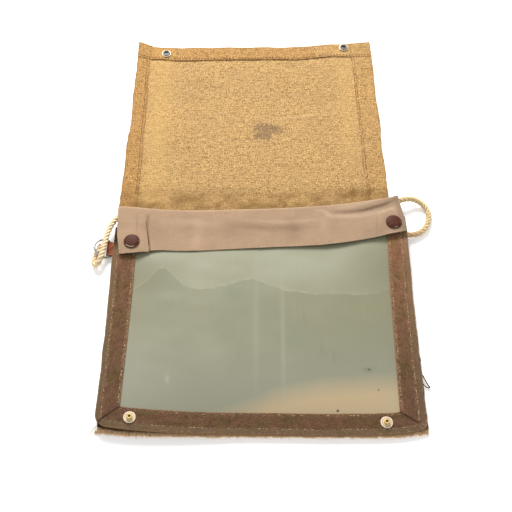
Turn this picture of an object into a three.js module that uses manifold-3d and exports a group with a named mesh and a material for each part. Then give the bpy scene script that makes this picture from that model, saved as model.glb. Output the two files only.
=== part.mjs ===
// A canvas map case with a clear window, lying open on its back.
// Millimetres. X runs across the case, +Y towards the free end of the flap, +Z up.
// The origin is on the resting surface, in the middle of the fold between body and flap.

import * as THREE from 'three';
import { mergeVertices } from 'three/addons/utils/BufferGeometryUtils.js';
import Module from 'manifold-3d';

const wasm = await Module();
wasm.setup();

// Cloth, sheet and leather thicknesses, and the clearance between pieces that touch
const BACK_CANVAS = 1.6;
const FLAP_CANVAS = 1.2;
const BINDING_PLY = 1.0;
const STRIP_COTTON = 0.9;
const WINDOW_SHEET = 0.7;
const LEATHER_PLY = 1.1;
const CLEARANCE = 0.3;

// Body
const BODY_WIDTH = 280;
const BODY_LENGTH = 234;
const BACK_PAST_FOLD = 3;
const BINDING_BOTTOM_WIDTH = 19.5;
const BINDING_EDGE_ROUND = 0.9;
const WINDOW_TUCK = 4;
const WINDOW_TOP_EDGE = 13;
const WINDOW_CROWN = 4.2;
const OPEN_SEAM_RISE = 4.6;

// Flap
const FLAP_WIDTH = 266;
const FLAP_TAPER = 9;
const FLAP_OFFSET = -6;
const FLAP_LENGTH = 228;
const FLAP_TUCK = 10;
const FLAP_HEM_TOP = 20;
const FLAP_HEM_LEFT = 17.5;
const FLAP_HEM_RIGHT = 20;
const HEM_STEP = 0.5;
const FLAP_CORNER_CURL = 2.6;

// Weather strip
const STRIP_SHORT_OF_BODY = 6;
const STRIP_OFFSET = 1.2;
const STRIP_DEPTH = 50;
const STRIP_TUCK = 9;

// Press studs: a cap and its socket above or below the cloth, and the stud that they snap on
const CAP_DIAMETER = 15;
const CAP_HEIGHT = 2.3;
const FLAP_CAP_DIAMETER = 11.6;
const FLAP_CAP_HEIGHT = 2.2;
const SOCKET_DIAMETER = 11.5;
const SOCKET_HEIGHT = 1.9;
const STUD_FLANGE_DIAMETER = 11.5;
const STUD_FLANGE_HEIGHT = 0.7;
const STUD_BOSS_DIAMETER = 5.2;
const STUD_BOSS_HEIGHT = 1.3;
const CLOSING_BOSS_HEIGHT = 2.6;
const RIVET_DIAMETER = 3.6;
const SNAP_SIDES = 16;
const DRILL_REACH = 20;

// Cord, ring and tab
const CORD_DIAMETER = 5.2;
const CORD_SIDES = 8;
const CORD_STEPS = 78;
const HITCH_STEPS = 26;
const RING_WIRE = 2.2;
const RING_BAR = 21.5;
const RING_DEPTH = 15.5;
const RING_FAR_RISE = 5.4;
const RING_STEPS = 44;
const TAB_WIDTH = 15;
const TAB_REACH = 4.2;
const TAB_ROOT = 8;
const TAB_CENTRE = -46.5;

// Colours, roughness and metalness of each finish
const FINISH = {
  backCanvas: { color: 0xa2713c, roughness: 0.95, metalness: 0 },
  binding: { color: 0x5f4a35, roughness: 0.95, metalness: 0 },
  window: { color: 0xa7a488, roughness: 0.3, metalness: 0 },
  flapCanvas: { color: 0xb98f4f, roughness: 0.95, metalness: 0 },
  cotton: { color: 0xa58d73, roughness: 0.9, metalness: 0 },
  capEnamel: { color: 0x4d3538, roughness: 0.35, metalness: 0.2 },
  brass: { color: 0xc9b98a, roughness: 0.35, metalness: 1 },
  leather: { color: 0x8a4a2c, roughness: 0.6, metalness: 0 },
  steel: { color: 0x85858a, roughness: 0.35, metalness: 1 },
  rope: { color: 0xd8c48c, roughness: 0.9, metalness: 0 },
};

// Sizes that follow from the stack of pieces
const HALF_BODY = BODY_WIDTH / 2;
const STRIP_WIDTH = BODY_WIDTH - STRIP_SHORT_OF_BODY;
const SEAT = BACK_CANVAS + CLEARANCE;
const WINDOW_SLOT = WINDOW_SHEET + 2 * CLEARANCE;
const BINDING_THICKNESS = 2 * BINDING_PLY + WINDOW_SLOT;
const HEM_THICKNESS = 2 * FLAP_CANVAS;
const TAB_STACK = 2 * LEATHER_PLY + 2 * CLEARANCE;
const CORD_STACK = CORD_DIAMETER + CLEARANCE;
const SOCKET_SEAT = STUD_FLANGE_HEIGHT + 2 * CLEARANCE;
const FLAP_TIP_RISE = FLAP_CAP_HEIGHT + 2 * CLEARANCE;

// The two side bindings: width at each end, as shares of the bottom binding's width,
// and how far below the fold the hidden upper end stops, as a share of the strip's depth
const SIDE_BINDINGS = {
  left: { side: -1, topWidth: 1.17, bottomWidth: 1.03, upperEnd: 0.48 },
  right: { side: 1, topWidth: 1.0, bottomWidth: 1.15, upperEnd: 0.26 },
};

// Width of the flap's side hems at the free end, as shares of their width at the fold
const HEM_TIP = { left: 0.72, right: 1.23 };

// Bottom edges, from left to right: place as a share of the body's width, and how far
// the front and the back reach, as shares of the body's length
const BOTTOM_EDGE = [
  { across: 0.0, front: 0.971, back: 0.983 },
  { across: 0.06, front: 0.982, back: 0.993 },
  { across: 0.25, front: 0.998, back: 1.001 },
  { across: 0.5, front: 1.001, back: 1.003 },
  { across: 0.75, front: 1.004, back: 1.005 },
  { across: 0.94, front: 0.995, back: 1.0 },
  { across: 1.0, front: 0.981, back: 0.99 },
];

// How much of the back shows past the bindings at each side, down the body: shares of the
// body's length and of its width
const BACK_EDGE = [
  { down: 0.0, left: -0.004, right: -0.006 },
  { down: 0.3, left: -0.001, right: -0.001 },
  { down: 0.7, left: 0.0, right: 0.002 },
  { down: 1.0, left: -0.004, right: 0.003 },
];

// Where the front panel is held up, as shares of half the body's width and of its length:
// full up to the first value, fading to nothing at the second
const LIFTS = [
  { side: -1, rise: TAB_STACK, fullAcross: 0.83, noneAcross: 0.42, fullDown: 0.25, noneDown: 0.42 },
  { side: 1, rise: CORD_STACK, fullAcross: 0.83, noneAcross: 0.42, fullDown: 0.19, noneDown: 0.42 },
];

// Sections of the weather strip from left to right. Place is a share of the strip's width.
// Fold, ridge and drop are shares of its depth: how far the fold stands past the origin
// line, how far the raised ridge over the cord reaches, and where the lower edge lies.
// Crest and hang are heights over the seat of the front panel, as shares of the cord's
// diameter.
const STRIP_SECTIONS = [
  { across: 0.0, fold: -0.01, ridge: 0.36, drop: 1.13, crest: 1.92, hang: 1.7 },
  { across: 0.03, fold: -0.015, ridge: 0.34, drop: 1.125, crest: 1.9, hang: 1.72 },
  { across: 0.055, fold: -0.03, ridge: 0.3, drop: 1.11, crest: 1.93, hang: 1.74 },
  { across: 0.1, fold: -0.055, ridge: 0.26, drop: 1.06, crest: 1.9, hang: 1.6 },
  { across: 0.14, fold: -0.07, ridge: 0.23, drop: 1.035, crest: 1.84, hang: 1.5 },
  { across: 0.21, fold: -0.085, ridge: 0.2, drop: 1.04, crest: 1.72, hang: 1.34 },
  { across: 0.29, fold: -0.085, ridge: 0.18, drop: 1.03, crest: 1.7, hang: 1.3 },
  { across: 0.39, fold: -0.07, ridge: 0.18, drop: 1.0, crest: 1.69, hang: 1.33 },
  { across: 0.5, fold: -0.05, ridge: 0.18, drop: 0.97, crest: 1.69, hang: 1.42 },
  { across: 0.61, fold: -0.02, ridge: 0.18, drop: 0.95, crest: 1.7, hang: 1.56 },
  { across: 0.71, fold: 0.02, ridge: 0.2, drop: 0.925, crest: 1.74, hang: 1.72 },
  { across: 0.8, fold: 0.075, ridge: 0.2, drop: 0.87, crest: 1.82, hang: 1.94 },
  { across: 0.87, fold: 0.125, ridge: 0.2, drop: 0.81, crest: 1.92, hang: 2.15 },
  { across: 0.915, fold: 0.165, ridge: 0.2, drop: 0.76, crest: 2.0, hang: 2.32 },
  { across: 0.94, fold: 0.19, ridge: 0.2, drop: 0.725, crest: 2.06, hang: 2.42 },
  { across: 0.97, fold: 0.22, ridge: 0.2, drop: 0.69, crest: 2.12, hang: 2.4 },
  { across: 1.0, fold: 0.25, ridge: 0.2, drop: 0.65, crest: 2.16, hang: 2.34 },
];

// Press stud places: across as a share of half the body's width, along as a share of the
// body's or the flap's length
const STRIP_SNAPS = {
  left: { across: -0.871, along: -0.187 },
  right: { across: 0.907, along: -0.0995 },
};
const CLOSING_STUDS = {
  left: { across: -0.791, along: -0.944 },
  right: { across: 0.754, along: -0.956 },
};
const FLAP_SNAPS = {
  left: { across: -0.758, along: 0.934 },
  right: { across: 0.769, along: 0.975 },
};

// The cord's route from the right side seam, round its loop, along the strip's fold
// and down to the ring: points chosen by hand
const CORD_ROUTE = [
  [129.5, -31.4, 4.56], [136.5, -31.2, 4.56], [142.5, -30.6, 4.2], [148.5, -29.3, 3.4],
  [154.7, -26.1, 2.85], [159.5, -21.2, 2.68], [162.7, -14.1, 2.66], [164.3, -6.9, 2.68],
  [163.2, 0.2, 2.9], [159.7, 5.6, 3.8], [154.5, 9.0, 5.4], [148.0, 10.4, 7.1],
  [141.0, 9.0, 8.3], [133.0, 6.6, 8.6], [120.0, 3.4, 8.6], [107.0, 0.6, 8.5],
  [88.0, -2.6, 7.7], [67.6, -4.6, 7.4], [30.0, -7.2, 7.35], [-10.0, -8.2, 7.35],
  [-58.9, -9.6, 7.35], [-92.0, -9.4, 7.6], [-112.0, -8.8, 8.4], [-128.0, -9.7, 8.6],
  [-137.6, -13.0, 8.8], [-142.2, -19.6, 8.7], [-145.0, -26.8, 8.7], [-146.6, -34.7, 9.0],
  [-147.5, -42.0, 9.4], [-148.6, -50.0, 9.7],
];

// The hitch goes on from the cord's end, over the ring, round below it and back through
const HITCH_ROUTE = [
  [-148.66, -50.4, 9.71], [-149.0, -53.6, 9.6], [-149.8, -57.6, 9.3], [-151.2, -61.6, 8.0],
  [-153.6, -64.6, 5.6], [-156.4, -63.4, 3.4], [-157.2, -58.6, 2.7], [-156.2, -53.2, 2.66],
  [-154.4, -47.6, 2.66], [-152.8, -41.6, 2.8],
];

function clamp01(value) {
  return Math.min(1, Math.max(0, value));
}

// 1 up to full, 0 from none on, smooth between
function fade(value, full, none) {
  const t = clamp01((value - full) / (none - full));
  return 1 - t * t * (3 - 2 * t);
}

function lerp(a, b, t) {
  return a + (b - a) * t;
}

// Smooth curve through one column of a table
function column(table, key, name, at) {
  let row = 0;
  while (row < table.length - 2 && at > table[row + 1][key]) {
    row += 1;
  }
  const low = table[row];
  const high = table[row + 1];
  const t = clamp01((at - low[key]) / (high[key] - low[key]));
  return lerp(low[name], high[name], t);
}

function steps(from, to, count) {
  return Array.from({ length: count + 1 }, (_, i) => lerp(from, to, i / count));
}

// Height of the front panel's underside over the resting surface
function panelUnder(x, y) {
  let height = SEAT;
  for (const lift of LIFTS) {
    const across = (lift.side * x) / HALF_BODY;
    const down = -y / BODY_LENGTH;
    const acrossShare = 1 - fade(across, lift.noneAcross, lift.fullAcross);
    height += lift.rise * acrossShare * fade(down, lift.fullDown, lift.noneDown);
  }
  const seamAcross = fade((x + HALF_BODY) / BODY_WIDTH, 0.02, 0.5);
  const seamDown = 1 - fade(-y / BODY_LENGTH, 0.5, 0.97);
  return height + OPEN_SEAM_RISE * seamAcross * seamDown;
}

function frontBottom(x) {
  return -BODY_LENGTH * column(BOTTOM_EDGE, 'across', 'front', (x + HALF_BODY) / BODY_WIDTH);
}

function backBottom(x) {
  return -BODY_LENGTH * column(BOTTOM_EDGE, 'across', 'back', (x + HALF_BODY) / BODY_WIDTH);
}

function sideWidth(binding, down) {
  return BINDING_BOTTOM_WIDTH * lerp(binding.topWidth, binding.bottomWidth, clamp01(down));
}

// Inner edge of a side binding at height y
function windowEdge(binding, y) {
  return binding.side * (HALF_BODY - sideWidth(binding, -y / BODY_LENGTH));
}

// Closed solid between two grids of points. Each row is a list of [upper, lower] pairs.
function slab(rows) {
  const across = rows[0].length;
  const positions = [];
  for (const row of rows) {
    for (const pair of row) {
      positions.push(...pair[0], ...pair[1]);
    }
  }
  const upper = (r, c) => 2 * (r * across + c);
  const lower = (r, c) => upper(r, c) + 1;
  const index = [];
  const quad = (a, b, c, d) => index.push(a, b, c, a, c, d);
  const last = rows.length - 1;
  const end = across - 1;
  for (let r = 0; r < last; r += 1) {
    for (let c = 0; c < end; c += 1) {
      quad(upper(r, c), upper(r, c + 1), upper(r + 1, c + 1), upper(r + 1, c));
      quad(lower(r, c), lower(r + 1, c), lower(r + 1, c + 1), lower(r, c + 1));
    }
    quad(upper(r, 0), upper(r + 1, 0), lower(r + 1, 0), lower(r, 0));
    quad(upper(r, end), lower(r, end), lower(r + 1, end), upper(r + 1, end));
  }
  for (let c = 0; c < end; c += 1) {
    quad(upper(0, c), lower(0, c), lower(0, c + 1), upper(0, c + 1));
    quad(upper(last, c), upper(last, c + 1), lower(last, c + 1), lower(last, c));
  }
  return outward(positions, index);
}

// A geometry whose faces point out of the solid
function outward(positions, index) {
  const at = (i) => new THREE.Vector3().fromArray(positions, 3 * i);
  let volume = 0;
  for (let i = 0; i < index.length; i += 3) {
    volume += at(index[i]).dot(at(index[i + 1]).cross(at(index[i + 2])));
  }
  if (volume < 0) {
    index.reverse();
  }
  const geometry = new THREE.BufferGeometry();
  geometry.setAttribute('position', new THREE.Float32BufferAttribute(positions, 3));
  geometry.setIndex(index);
  geometry.computeVertexNormals();
  return geometry;
}

function toSolid(geometry) {
  const plain = geometry.clone();
  plain.deleteAttribute('normal');
  plain.deleteAttribute('uv');
  const merged = mergeVertices(plain, 1e-4);
  const mesh = new wasm.Mesh({
    numProp: 3,
    vertProperties: new Float32Array(merged.attributes.position.array),
    triVerts: new Uint32Array(merged.index.array),
  });
  return new wasm.Manifold(mesh);
}

function fromSolid(solid) {
  const mesh = solid.getMesh();
  const geometry = new THREE.BufferGeometry();
  const position = new THREE.Float32BufferAttribute(mesh.vertProperties, mesh.numProp);
  geometry.setAttribute('position', position);
  geometry.setIndex(new THREE.Uint32BufferAttribute(mesh.triVerts, 1));
  geometry.computeVertexNormals();
  return geometry;
}

// Geometry less the round holes, each from height bottom up
function drilled(geometry, holes) {
  let solid = toSolid(geometry);
  for (const hole of holes) {
    const drill = new THREE.CylinderGeometry(hole.radius, hole.radius, DRILL_REACH, SNAP_SIDES);
    drill.rotateX(Math.PI / 2);
    drill.translate(hole.x, hole.y, hole.bottom + DRILL_REACH / 2);
    solid = solid.subtract(toSolid(drill));
  }
  return fromSolid(solid);
}

const mapCase = new THREE.Group();

function addPiece(name, geometry, finish) {
  const mesh = new THREE.Mesh(geometry, new THREE.MeshStandardMaterial(FINISH[finish]));
  mesh.name = name;
  mapCase.add(mesh);
  return mesh;
}

// Place of a press stud on the body, and the height of the binding's top there
function onBody(snap) {
  const x = snap.across * HALF_BODY;
  const y = snap.along * BODY_LENGTH;
  return { x, y, top: panelUnder(x, y) + BINDING_THICKNESS };
}

// Side edges of the flap and the inner edges of its hems at height y
function flapEdges(y) {
  const along = clamp01(y / FLAP_LENGTH);
  const half = (FLAP_WIDTH - FLAP_TAPER * along) / 2;
  const left = FLAP_OFFSET - half;
  const right = FLAP_OFFSET + half;
  const inLeft = left + FLAP_HEM_LEFT * lerp(1, HEM_TIP.left, along);
  const inRight = right - FLAP_HEM_RIGHT * lerp(1, HEM_TIP.right, along);
  return { left, right, inLeft, inRight, half };
}

function onFlap(snap) {
  const y = snap.along * FLAP_LENGTH;
  const x = FLAP_OFFSET + snap.across * flapEdges(y).half;
  return { x, y };
}

// Back panel
function backPanel() {
  const rows = [];
  for (const down of [0, 0.15, 0.3, 0.5, 0.7, 0.86, 1]) {
    const row = [];
    for (const across of BOTTOM_EDGE.map((entry) => entry.across)) {
      const left = -HALF_BODY - BODY_WIDTH * column(BACK_EDGE, 'down', 'left', down);
      const right = HALF_BODY + BODY_WIDTH * column(BACK_EDGE, 'down', 'right', down);
      const x = lerp(left, right, across);
      const bottom = backBottom(lerp(-HALF_BODY, HALF_BODY, across));
      const y = lerp(BACK_PAST_FOLD, bottom, down);
      row.push([[x, y, BACK_CANVAS], [x, y, 0]]);
    }
    rows.push(row);
  }
  return slab(rows);
}

// Cross-section of a folded binding: distances in from the outer edge and heights,
// from the upper ply round the outer edge to the lower ply
function bindingSection(width) {
  const top = BINDING_THICKNESS;
  const round = BINDING_EDGE_ROUND;
  const slot = width - WINDOW_TUCK - 2 * CLEARANCE;
  const bend = slot - BINDING_PLY / 2;
  const upperPly = top - BINDING_PLY;
  return [
    [[width, top], [width, upperPly]],
    [[round, top], [slot, upperPly]],
    [[0, top - round], [bend, lerp(BINDING_PLY, upperPly, 0.6)]],
    [[0, round], [bend, lerp(BINDING_PLY, upperPly, 0.4)]],
    [[round, 0], [slot, BINDING_PLY]],
    [[width, 0], [width, BINDING_PLY]],
  ];
}

// Rows down the front panel, close together where it is held up
function panelRows(from, to) {
  const upper = [0, 0.045, 0.09, 0.135, 0.18, 0.225, 0.27, 0.32, 0.38];
  const lower = [0.46, 0.56, 0.66, 0.76, 0.84, 0.92, 1];
  return [...upper, ...lower].map((share) => lerp(from, to, share));
}

function sideBinding(binding) {
  const widthEnd = sideWidth(binding, 1);
  const corner = frontBottom(binding.side * HALF_BODY);
  const upper = -binding.upperEnd * STRIP_DEPTH;
  const inner = frontBottom(binding.side * (HALF_BODY - widthEnd)) + BINDING_BOTTOM_WIDTH;
  const rows = panelRows(0, 1).map((share) => {
    const down = lerp(upper, corner, share) / -BODY_LENGTH;
    const place = ([distance, height]) => {
      const mitre = lerp(corner, inner, distance / widthEnd) + CLEARANCE / 2;
      const y = lerp(upper, mitre, share);
      const x = binding.side * (HALF_BODY - distance);
      return [x, y, panelUnder(x, y) + height];
    };
    const section = bindingSection(sideWidth(binding, down));
    return section.map(([outer, slot]) => [place(outer), place(slot)]);
  });
  return slab(rows);
}

function bottomBinding() {
  const leftWidth = sideWidth(SIDE_BINDINGS.left, 1);
  const rightWidth = sideWidth(SIDE_BINDINGS.right, 1);
  const across = (share, inward) => lerp(
    -HALF_BODY + inward * leftWidth + CLEARANCE / 2,
    HALF_BODY - inward * rightWidth - CLEARANCE / 2,
    share,
  );
  const rows = steps(0, 1, 16).map((share) => {
    const outer = frontBottom(across(share, 0));
    const inner = frontBottom(across(share, 1)) + BINDING_BOTTOM_WIDTH;
    const place = ([distance, height]) => {
      const inward = distance / BINDING_BOTTOM_WIDTH;
      const x = across(share, inward);
      const y = lerp(outer, inner, inward);
      return [x, y, panelUnder(x, y) + height];
    };
    return bindingSection(BINDING_BOTTOM_WIDTH).map(([outside, slot]) => [place(outside), place(slot)]);
  });
  return slab(rows);
}

// The window bulges a little, so the pocket under it stays open
function crown(x, y) {
  const binding = x < 0 ? SIDE_BINDINGS.left : SIDE_BINDINGS.right;
  const across = clamp01(Math.abs(x / windowEdge(binding, y)));
  const inner = frontBottom(x) + BINDING_BOTTOM_WIDTH + CLEARANCE;
  const along = clamp01(y / inner);
  return WINDOW_CROWN * (1 - across ** 4) * (1 - along ** 6);
}

function windowSheet() {
  const half = [0, 0.17, 0.34, 0.48, 0.62, 0.74, 0.84, 0.93, 1];
  const columns = half.map((across) => ({ across, side: 1, tuck: 0 }));
  columns.push({ across: 1, side: 1, tuck: WINDOW_TUCK });
  const mirrored = columns.slice(1).reverse().map((entry) => ({ ...entry, side: -1 }));
  const downs = panelRows(0, 1).map((down) => ({ down, tuck: 0 }));
  downs.push({ down: 1, tuck: WINDOW_TUCK });
  const rows = downs.map((entry) => [...mirrored, ...columns].map(({ across, side, tuck }) => {
    const binding = side < 0 ? SIDE_BINDINGS.left : SIDE_BINDINGS.right;
    const bottomInset = 1 - BINDING_BOTTOM_WIDTH / HALF_BODY;
    const inner = frontBottom(side * across * HALF_BODY * bottomInset) + BINDING_BOTTOM_WIDTH;
    const y = lerp(-WINDOW_TOP_EDGE, inner, entry.down) - entry.tuck;
    const x = across * windowEdge(binding, y) + side * tuck;
    const under = panelUnder(x, y) + BINDING_PLY + CLEARANCE + crown(x, y);
    return [[x, y, under + WINDOW_SHEET], [x, y, under]];
  }));
  return slab(rows);
}

// Height of the flap's underside: over the back panel at the root, on the surface in
// the middle, and up on its caps at the free end
function flapUnder(x, y) {
  const root = fade(y, BACK_PAST_FOLD + 2, BACK_PAST_FOLD + 16) * SEAT;
  const tip = 1 - fade(y, 0.6 * FLAP_LENGTH, 0.9 * FLAP_LENGTH);
  const across = (x - FLAP_OFFSET) / flapEdges(y).half;
  const curl = (1 - fade(Math.abs(across), 0.86, 1)) * (1 - fade(y / FLAP_LENGTH, 0.9, 1));
  return root + tip * FLAP_TIP_RISE + curl * FLAP_CORNER_CURL;
}

function flapSheet() {
  const hemStart = FLAP_LENGTH - FLAP_HEM_TOP;
  const low = [-FLAP_TUCK, 0, 5, 8, 11, 14, 17, 20, 50, 90, 125, 145, 160, 175, 190];
  const ys = [...low, hemStart - HEM_STEP, hemStart, hemStart + 7, hemStart + 13, FLAP_LENGTH];
  const rows = ys.map((y) => {
    const { left, right, inLeft, inRight } = flapEdges(y);
    const field = steps(inLeft + HEM_STEP, inRight - HEM_STEP, 8);
    const leftHem = [0, 0.4, 1].map((share) => lerp(left, inLeft, share));
    const rightHem = [1, 0.5, 0.27, 0].map((share) => lerp(right, inRight, share));
    return [...leftHem, ...field, ...rightHem].map((x) => {
      const onSideHem = x <= inLeft || x >= inRight;
      const thick = onSideHem || y >= hemStart ? HEM_THICKNESS : FLAP_CANVAS;
      const under = flapUnder(x, y);
      return [[x, y, under + thick], [x, y, under]];
    });
  });
  return slab(rows);
}

function stripX(across) {
  return STRIP_OFFSET + STRIP_WIDTH * (across - 0.5);
}

// Height of the strip's middle surface at a press stud
function snapLevel(place) {
  return place.top + SOCKET_SEAT + SOCKET_HEIGHT + CLEARANCE + STRIP_COTTON / 2;
}

// Thickness of the flap under the strip's sewn leg: its side hems, with a slope beside them
function rootThickness(x) {
  const { inLeft, inRight } = flapEdges(0);
  const nearHem = Math.min(x - inLeft, inRight - x);
  return lerp(FLAP_CANVAS, HEM_THICKNESS, fade(nearHem, 0, 1.2 * FLAP_HEM_RIGHT));
}

// One section of the weather strip: the middle line from the sewn leg round the fold
// and over the front panel to the lower edge
function stripLine(across) {
  const take = (name) => column(STRIP_SECTIONS, 'across', name, across);
  const x = stripX(across);
  const fold = take('fold') * STRIP_DEPTH - STRIP_COTTON / 2;
  const legZ = SEAT + rootThickness(x) + CLEARANCE + STRIP_COTTON / 2;
  const crest = SEAT + take('crest') * CORD_DIAMETER;
  const radius = (crest - legZ) / 2;
  const centre = fold - radius;
  const line = [];
  for (const share of [0, 0.5]) {
    line.push([lerp(-STRIP_TUCK, centre, share), legZ]);
  }
  for (const turn of steps(-90, 90, 6)) {
    const angle = THREE.MathUtils.degToRad(turn);
    line.push([centre + radius * Math.cos(angle), legZ + radius + radius * Math.sin(angle)]);
  }
  const ridgeEnd = fold - take('ridge') * STRIP_DEPTH;
  const edge = -take('drop') * STRIP_DEPTH;
  const hang = SEAT + take('hang') * CORD_DIAMETER;
  line.push([lerp(centre, ridgeEnd, 0.6), crest]);
  for (const share of [0.06, 0.2, 0.34, 0.48, 0.62, 0.76, 0.88, 1]) {
    const y = lerp(ridgeEnd, edge, share);
    const drape = lerp(crest, hang, 1 - fade(share, 0, 0.7));
    line.push([y, nearSnap(x, y, drape)]);
  }
  return { x, line };
}

// Level the strip round each of its press studs
function nearSnap(x, y, height) {
  let level = height;
  for (const snap of Object.values(STRIP_SNAPS)) {
    const place = onBody(snap);
    const distance = Math.hypot(x - place.x, y - place.y);
    const share = fade(distance, 0.8 * SOCKET_DIAMETER, 1.7 * SOCKET_DIAMETER);
    level = lerp(level, snapLevel(place), share);
  }
  return level;
}

function weatherStrip() {
  const places = [];
  STRIP_SECTIONS.forEach((section, i) => {
    places.push(section.across);
    const next = STRIP_SECTIONS[i + 1];
    if (next && next.across - section.across > 0.06) {
      places.push(lerp(section.across, next.across, 0.5));
    }
  });
  const rows = places.map((across) => {
    const { x, line } = stripLine(across);
    return line.map(([y, z], i) => {
      const before = line[Math.max(0, i - 1)];
      const after = line[Math.min(line.length - 1, i + 1)];
      const run = new THREE.Vector2(after[0] - before[0], after[1] - before[1]).normalize();
      const half = STRIP_COTTON / 2;
      const outer = [x, y + half * run.y, z - half * run.x];
      const inner = [x, y - half * run.y, z + half * run.x];
      return [outer, inner];
    });
  });
  return slab(rows);
}

function turned(profile) {
  const points = profile.map(([radius, height]) => new THREE.Vector2(radius, height));
  const geometry = new THREE.LatheGeometry(points, SNAP_SIDES);
  geometry.rotateX(Math.PI / 2);
  return geometry;
}

// Domed cap with its rolled rim above z 0 and its hollow-looking rivet below
function capProfile(diameter, height, shank) {
  const outer = diameter / 2;
  const rivet = RIVET_DIAMETER / 2;
  return [
    [0, -shank], [rivet, -shank], [rivet, 0], [outer - 0.5, 0], [outer, 0.3 * height],
    [outer - 0.25, 0.5 * height], [outer * 0.82, 0.8 * height], [outer * 0.45, 0.97 * height],
    [0, height],
  ];
}

function socketProfile() {
  const outer = SOCKET_DIAMETER / 2;
  const bore = STUD_BOSS_DIAMETER / 2 + CLEARANCE;
  return [
    [bore, 0], [outer - 0.3, 0], [outer, 0.35], [outer - 0.5, 0.7], [outer - 1.6, 1.0],
    [outer - 2.1, SOCKET_HEIGHT], [bore, SOCKET_HEIGHT], [bore, 0],
  ];
}

function studProfile(bossHeight, shank) {
  const outer = STUD_FLANGE_DIAMETER / 2;
  const boss = STUD_BOSS_DIAMETER / 2;
  const rivet = RIVET_DIAMETER / 2;
  const neck = STUD_FLANGE_HEIGHT + 0.35 * bossHeight;
  return [
    [0, -shank], [rivet, -shank], [rivet, 0], [outer - 0.2, 0], [outer, 0.3],
    [outer - 0.6, STUD_FLANGE_HEIGHT], [boss, STUD_FLANGE_HEIGHT], [boss - 0.3, neck],
    [boss, STUD_FLANGE_HEIGHT + 0.75 * bossHeight], [boss - 0.5, STUD_FLANGE_HEIGHT + bossHeight],
    [0, STUD_FLANGE_HEIGHT + bossHeight],
  ];
}

// A turned piece set on a surface and tipped to its slope
function seated(name, profile, finish, place, z, surface) {
  const mesh = addPiece(name, turned(profile), finish);
  const reach = SOCKET_DIAMETER / 2;
  const { x, y } = place;
  const riseX = surface(x + reach, y) - surface(x - reach, y);
  const riseY = surface(x, y + reach) - surface(x, y - reach);
  const normal = new THREE.Vector3(-riseX, -riseY, 2 * reach).normalize();
  mesh.position.set(place.x, place.y, z);
  mesh.quaternion.setFromUnitVectors(new THREE.Vector3(0, 0, 1), normal);
  return mesh;
}

// A tube along a route of points
function tube(route, diameter, sides, count) {
  const points = route.map((point) => new THREE.Vector3(...point));
  const curve = new THREE.CatmullRomCurve3(points, false, 'centripetal');
  const section = new THREE.Shape();
  for (let i = 0; i < sides; i += 1) {
    const angle = (2 * Math.PI * (i + 0.5)) / sides;
    const x = (diameter / 2) * Math.cos(angle);
    const y = (diameter / 2) * Math.sin(angle);
    if (i === 0) {
      section.moveTo(x, y);
    } else {
      section.lineTo(x, y);
    }
  }
  section.closePath();
  return new THREE.ExtrudeGeometry(section, { steps: count, extrudePath: curve });
}

// D-ring: a straight bar along Y in the tab, and a round bow that rises away from it
const BAR_Z = BACK_CANVAS + CLEARANCE + LEATHER_PLY + CLEARANCE / 2;
const BAR_X = -HALF_BODY - TAB_REACH;

function ringPoints() {
  const points = [];
  const half = (RING_BAR - RING_WIRE) / 2;
  for (const share of [-0.85, -0.45, 0, 0.45, 0.85]) {
    points.push(new THREE.Vector3(BAR_X, TAB_CENTRE + share * half, BAR_Z));
  }
  const bow = RING_DEPTH - RING_WIRE;
  for (const turn of steps(18, 162, 9)) {
    const angle = THREE.MathUtils.degToRad(turn);
    const out = Math.sin(angle);
    points.push(new THREE.Vector3(
      BAR_X - bow * out,
      TAB_CENTRE + half * 1.12 * Math.cos(angle),
      BAR_Z + RING_FAR_RISE * out,
    ));
  }
  return points;
}

function dRing() {
  const curve = new THREE.CatmullRomCurve3(ringPoints(), true, 'centripetal');
  return new THREE.TubeGeometry(curve, RING_STEPS, RING_WIRE / 2, 8, true);
}

// Leather tab: one strip folded round the ring's bar, both plies in the side seam
function leatherTab() {
  const bore = RING_WIRE / 2 + CLEARANCE;
  const outer = bore + LEATHER_PLY;
  const root = -HALF_BODY + TAB_ROOT;
  const inside = CLEARANCE / 2;
  const outside = inside + LEATHER_PLY;
  const throat = BAR_X + outer + 1.2;
  const section = [];
  section.push([[root, outside], [root, inside]]);
  section.push([[throat, outside], [throat, inside]]);
  for (const turn of steps(50, 310, 12)) {
    const angle = THREE.MathUtils.degToRad(turn);
    const pair = [outer, bore].map((radius) => [
      BAR_X + radius * Math.cos(angle),
      radius * Math.sin(angle),
    ]);
    section.push(pair);
  }
  section.push([[throat, -outside], [throat, -inside]]);
  section.push([[root, -outside], [root, -inside]]);
  const rows = steps(-0.5, 0.5, 2).map((share) => {
    const y = TAB_CENTRE + share * TAB_WIDTH;
    return section.map((pair) => pair.map(([x, z]) => [x, y, BAR_Z + z]));
  });
  return slab(rows);
}

// Body pieces, drilled for the press studs
const stripPlaces = { left: onBody(STRIP_SNAPS.left), right: onBody(STRIP_SNAPS.right) };
const closingPlaces = { left: onBody(CLOSING_STUDS.left), right: onBody(CLOSING_STUDS.right) };
const flapPlaces = { left: onFlap(FLAP_SNAPS.left), right: onFlap(FLAP_SNAPS.right) };
const rivetHole = RIVET_DIAMETER / 2 + CLEARANCE;

function bindingHole(place) {
  const bottom = place.top - BINDING_PLY - CLEARANCE / 2;
  return { x: place.x, y: place.y, radius: rivetHole, bottom };
}

addPiece('back_panel', backPanel(), 'backCanvas');
for (const [name, binding] of Object.entries(SIDE_BINDINGS)) {
  const holes = [bindingHole(stripPlaces[name])];
  addPiece(`binding_${name}`, drilled(sideBinding(binding), holes), 'binding');
}
const bottomHoles = Object.values(closingPlaces).map(bindingHole);
addPiece('binding_bottom', drilled(bottomBinding(), bottomHoles), 'binding');
addPiece('window', windowSheet(), 'window');

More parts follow.
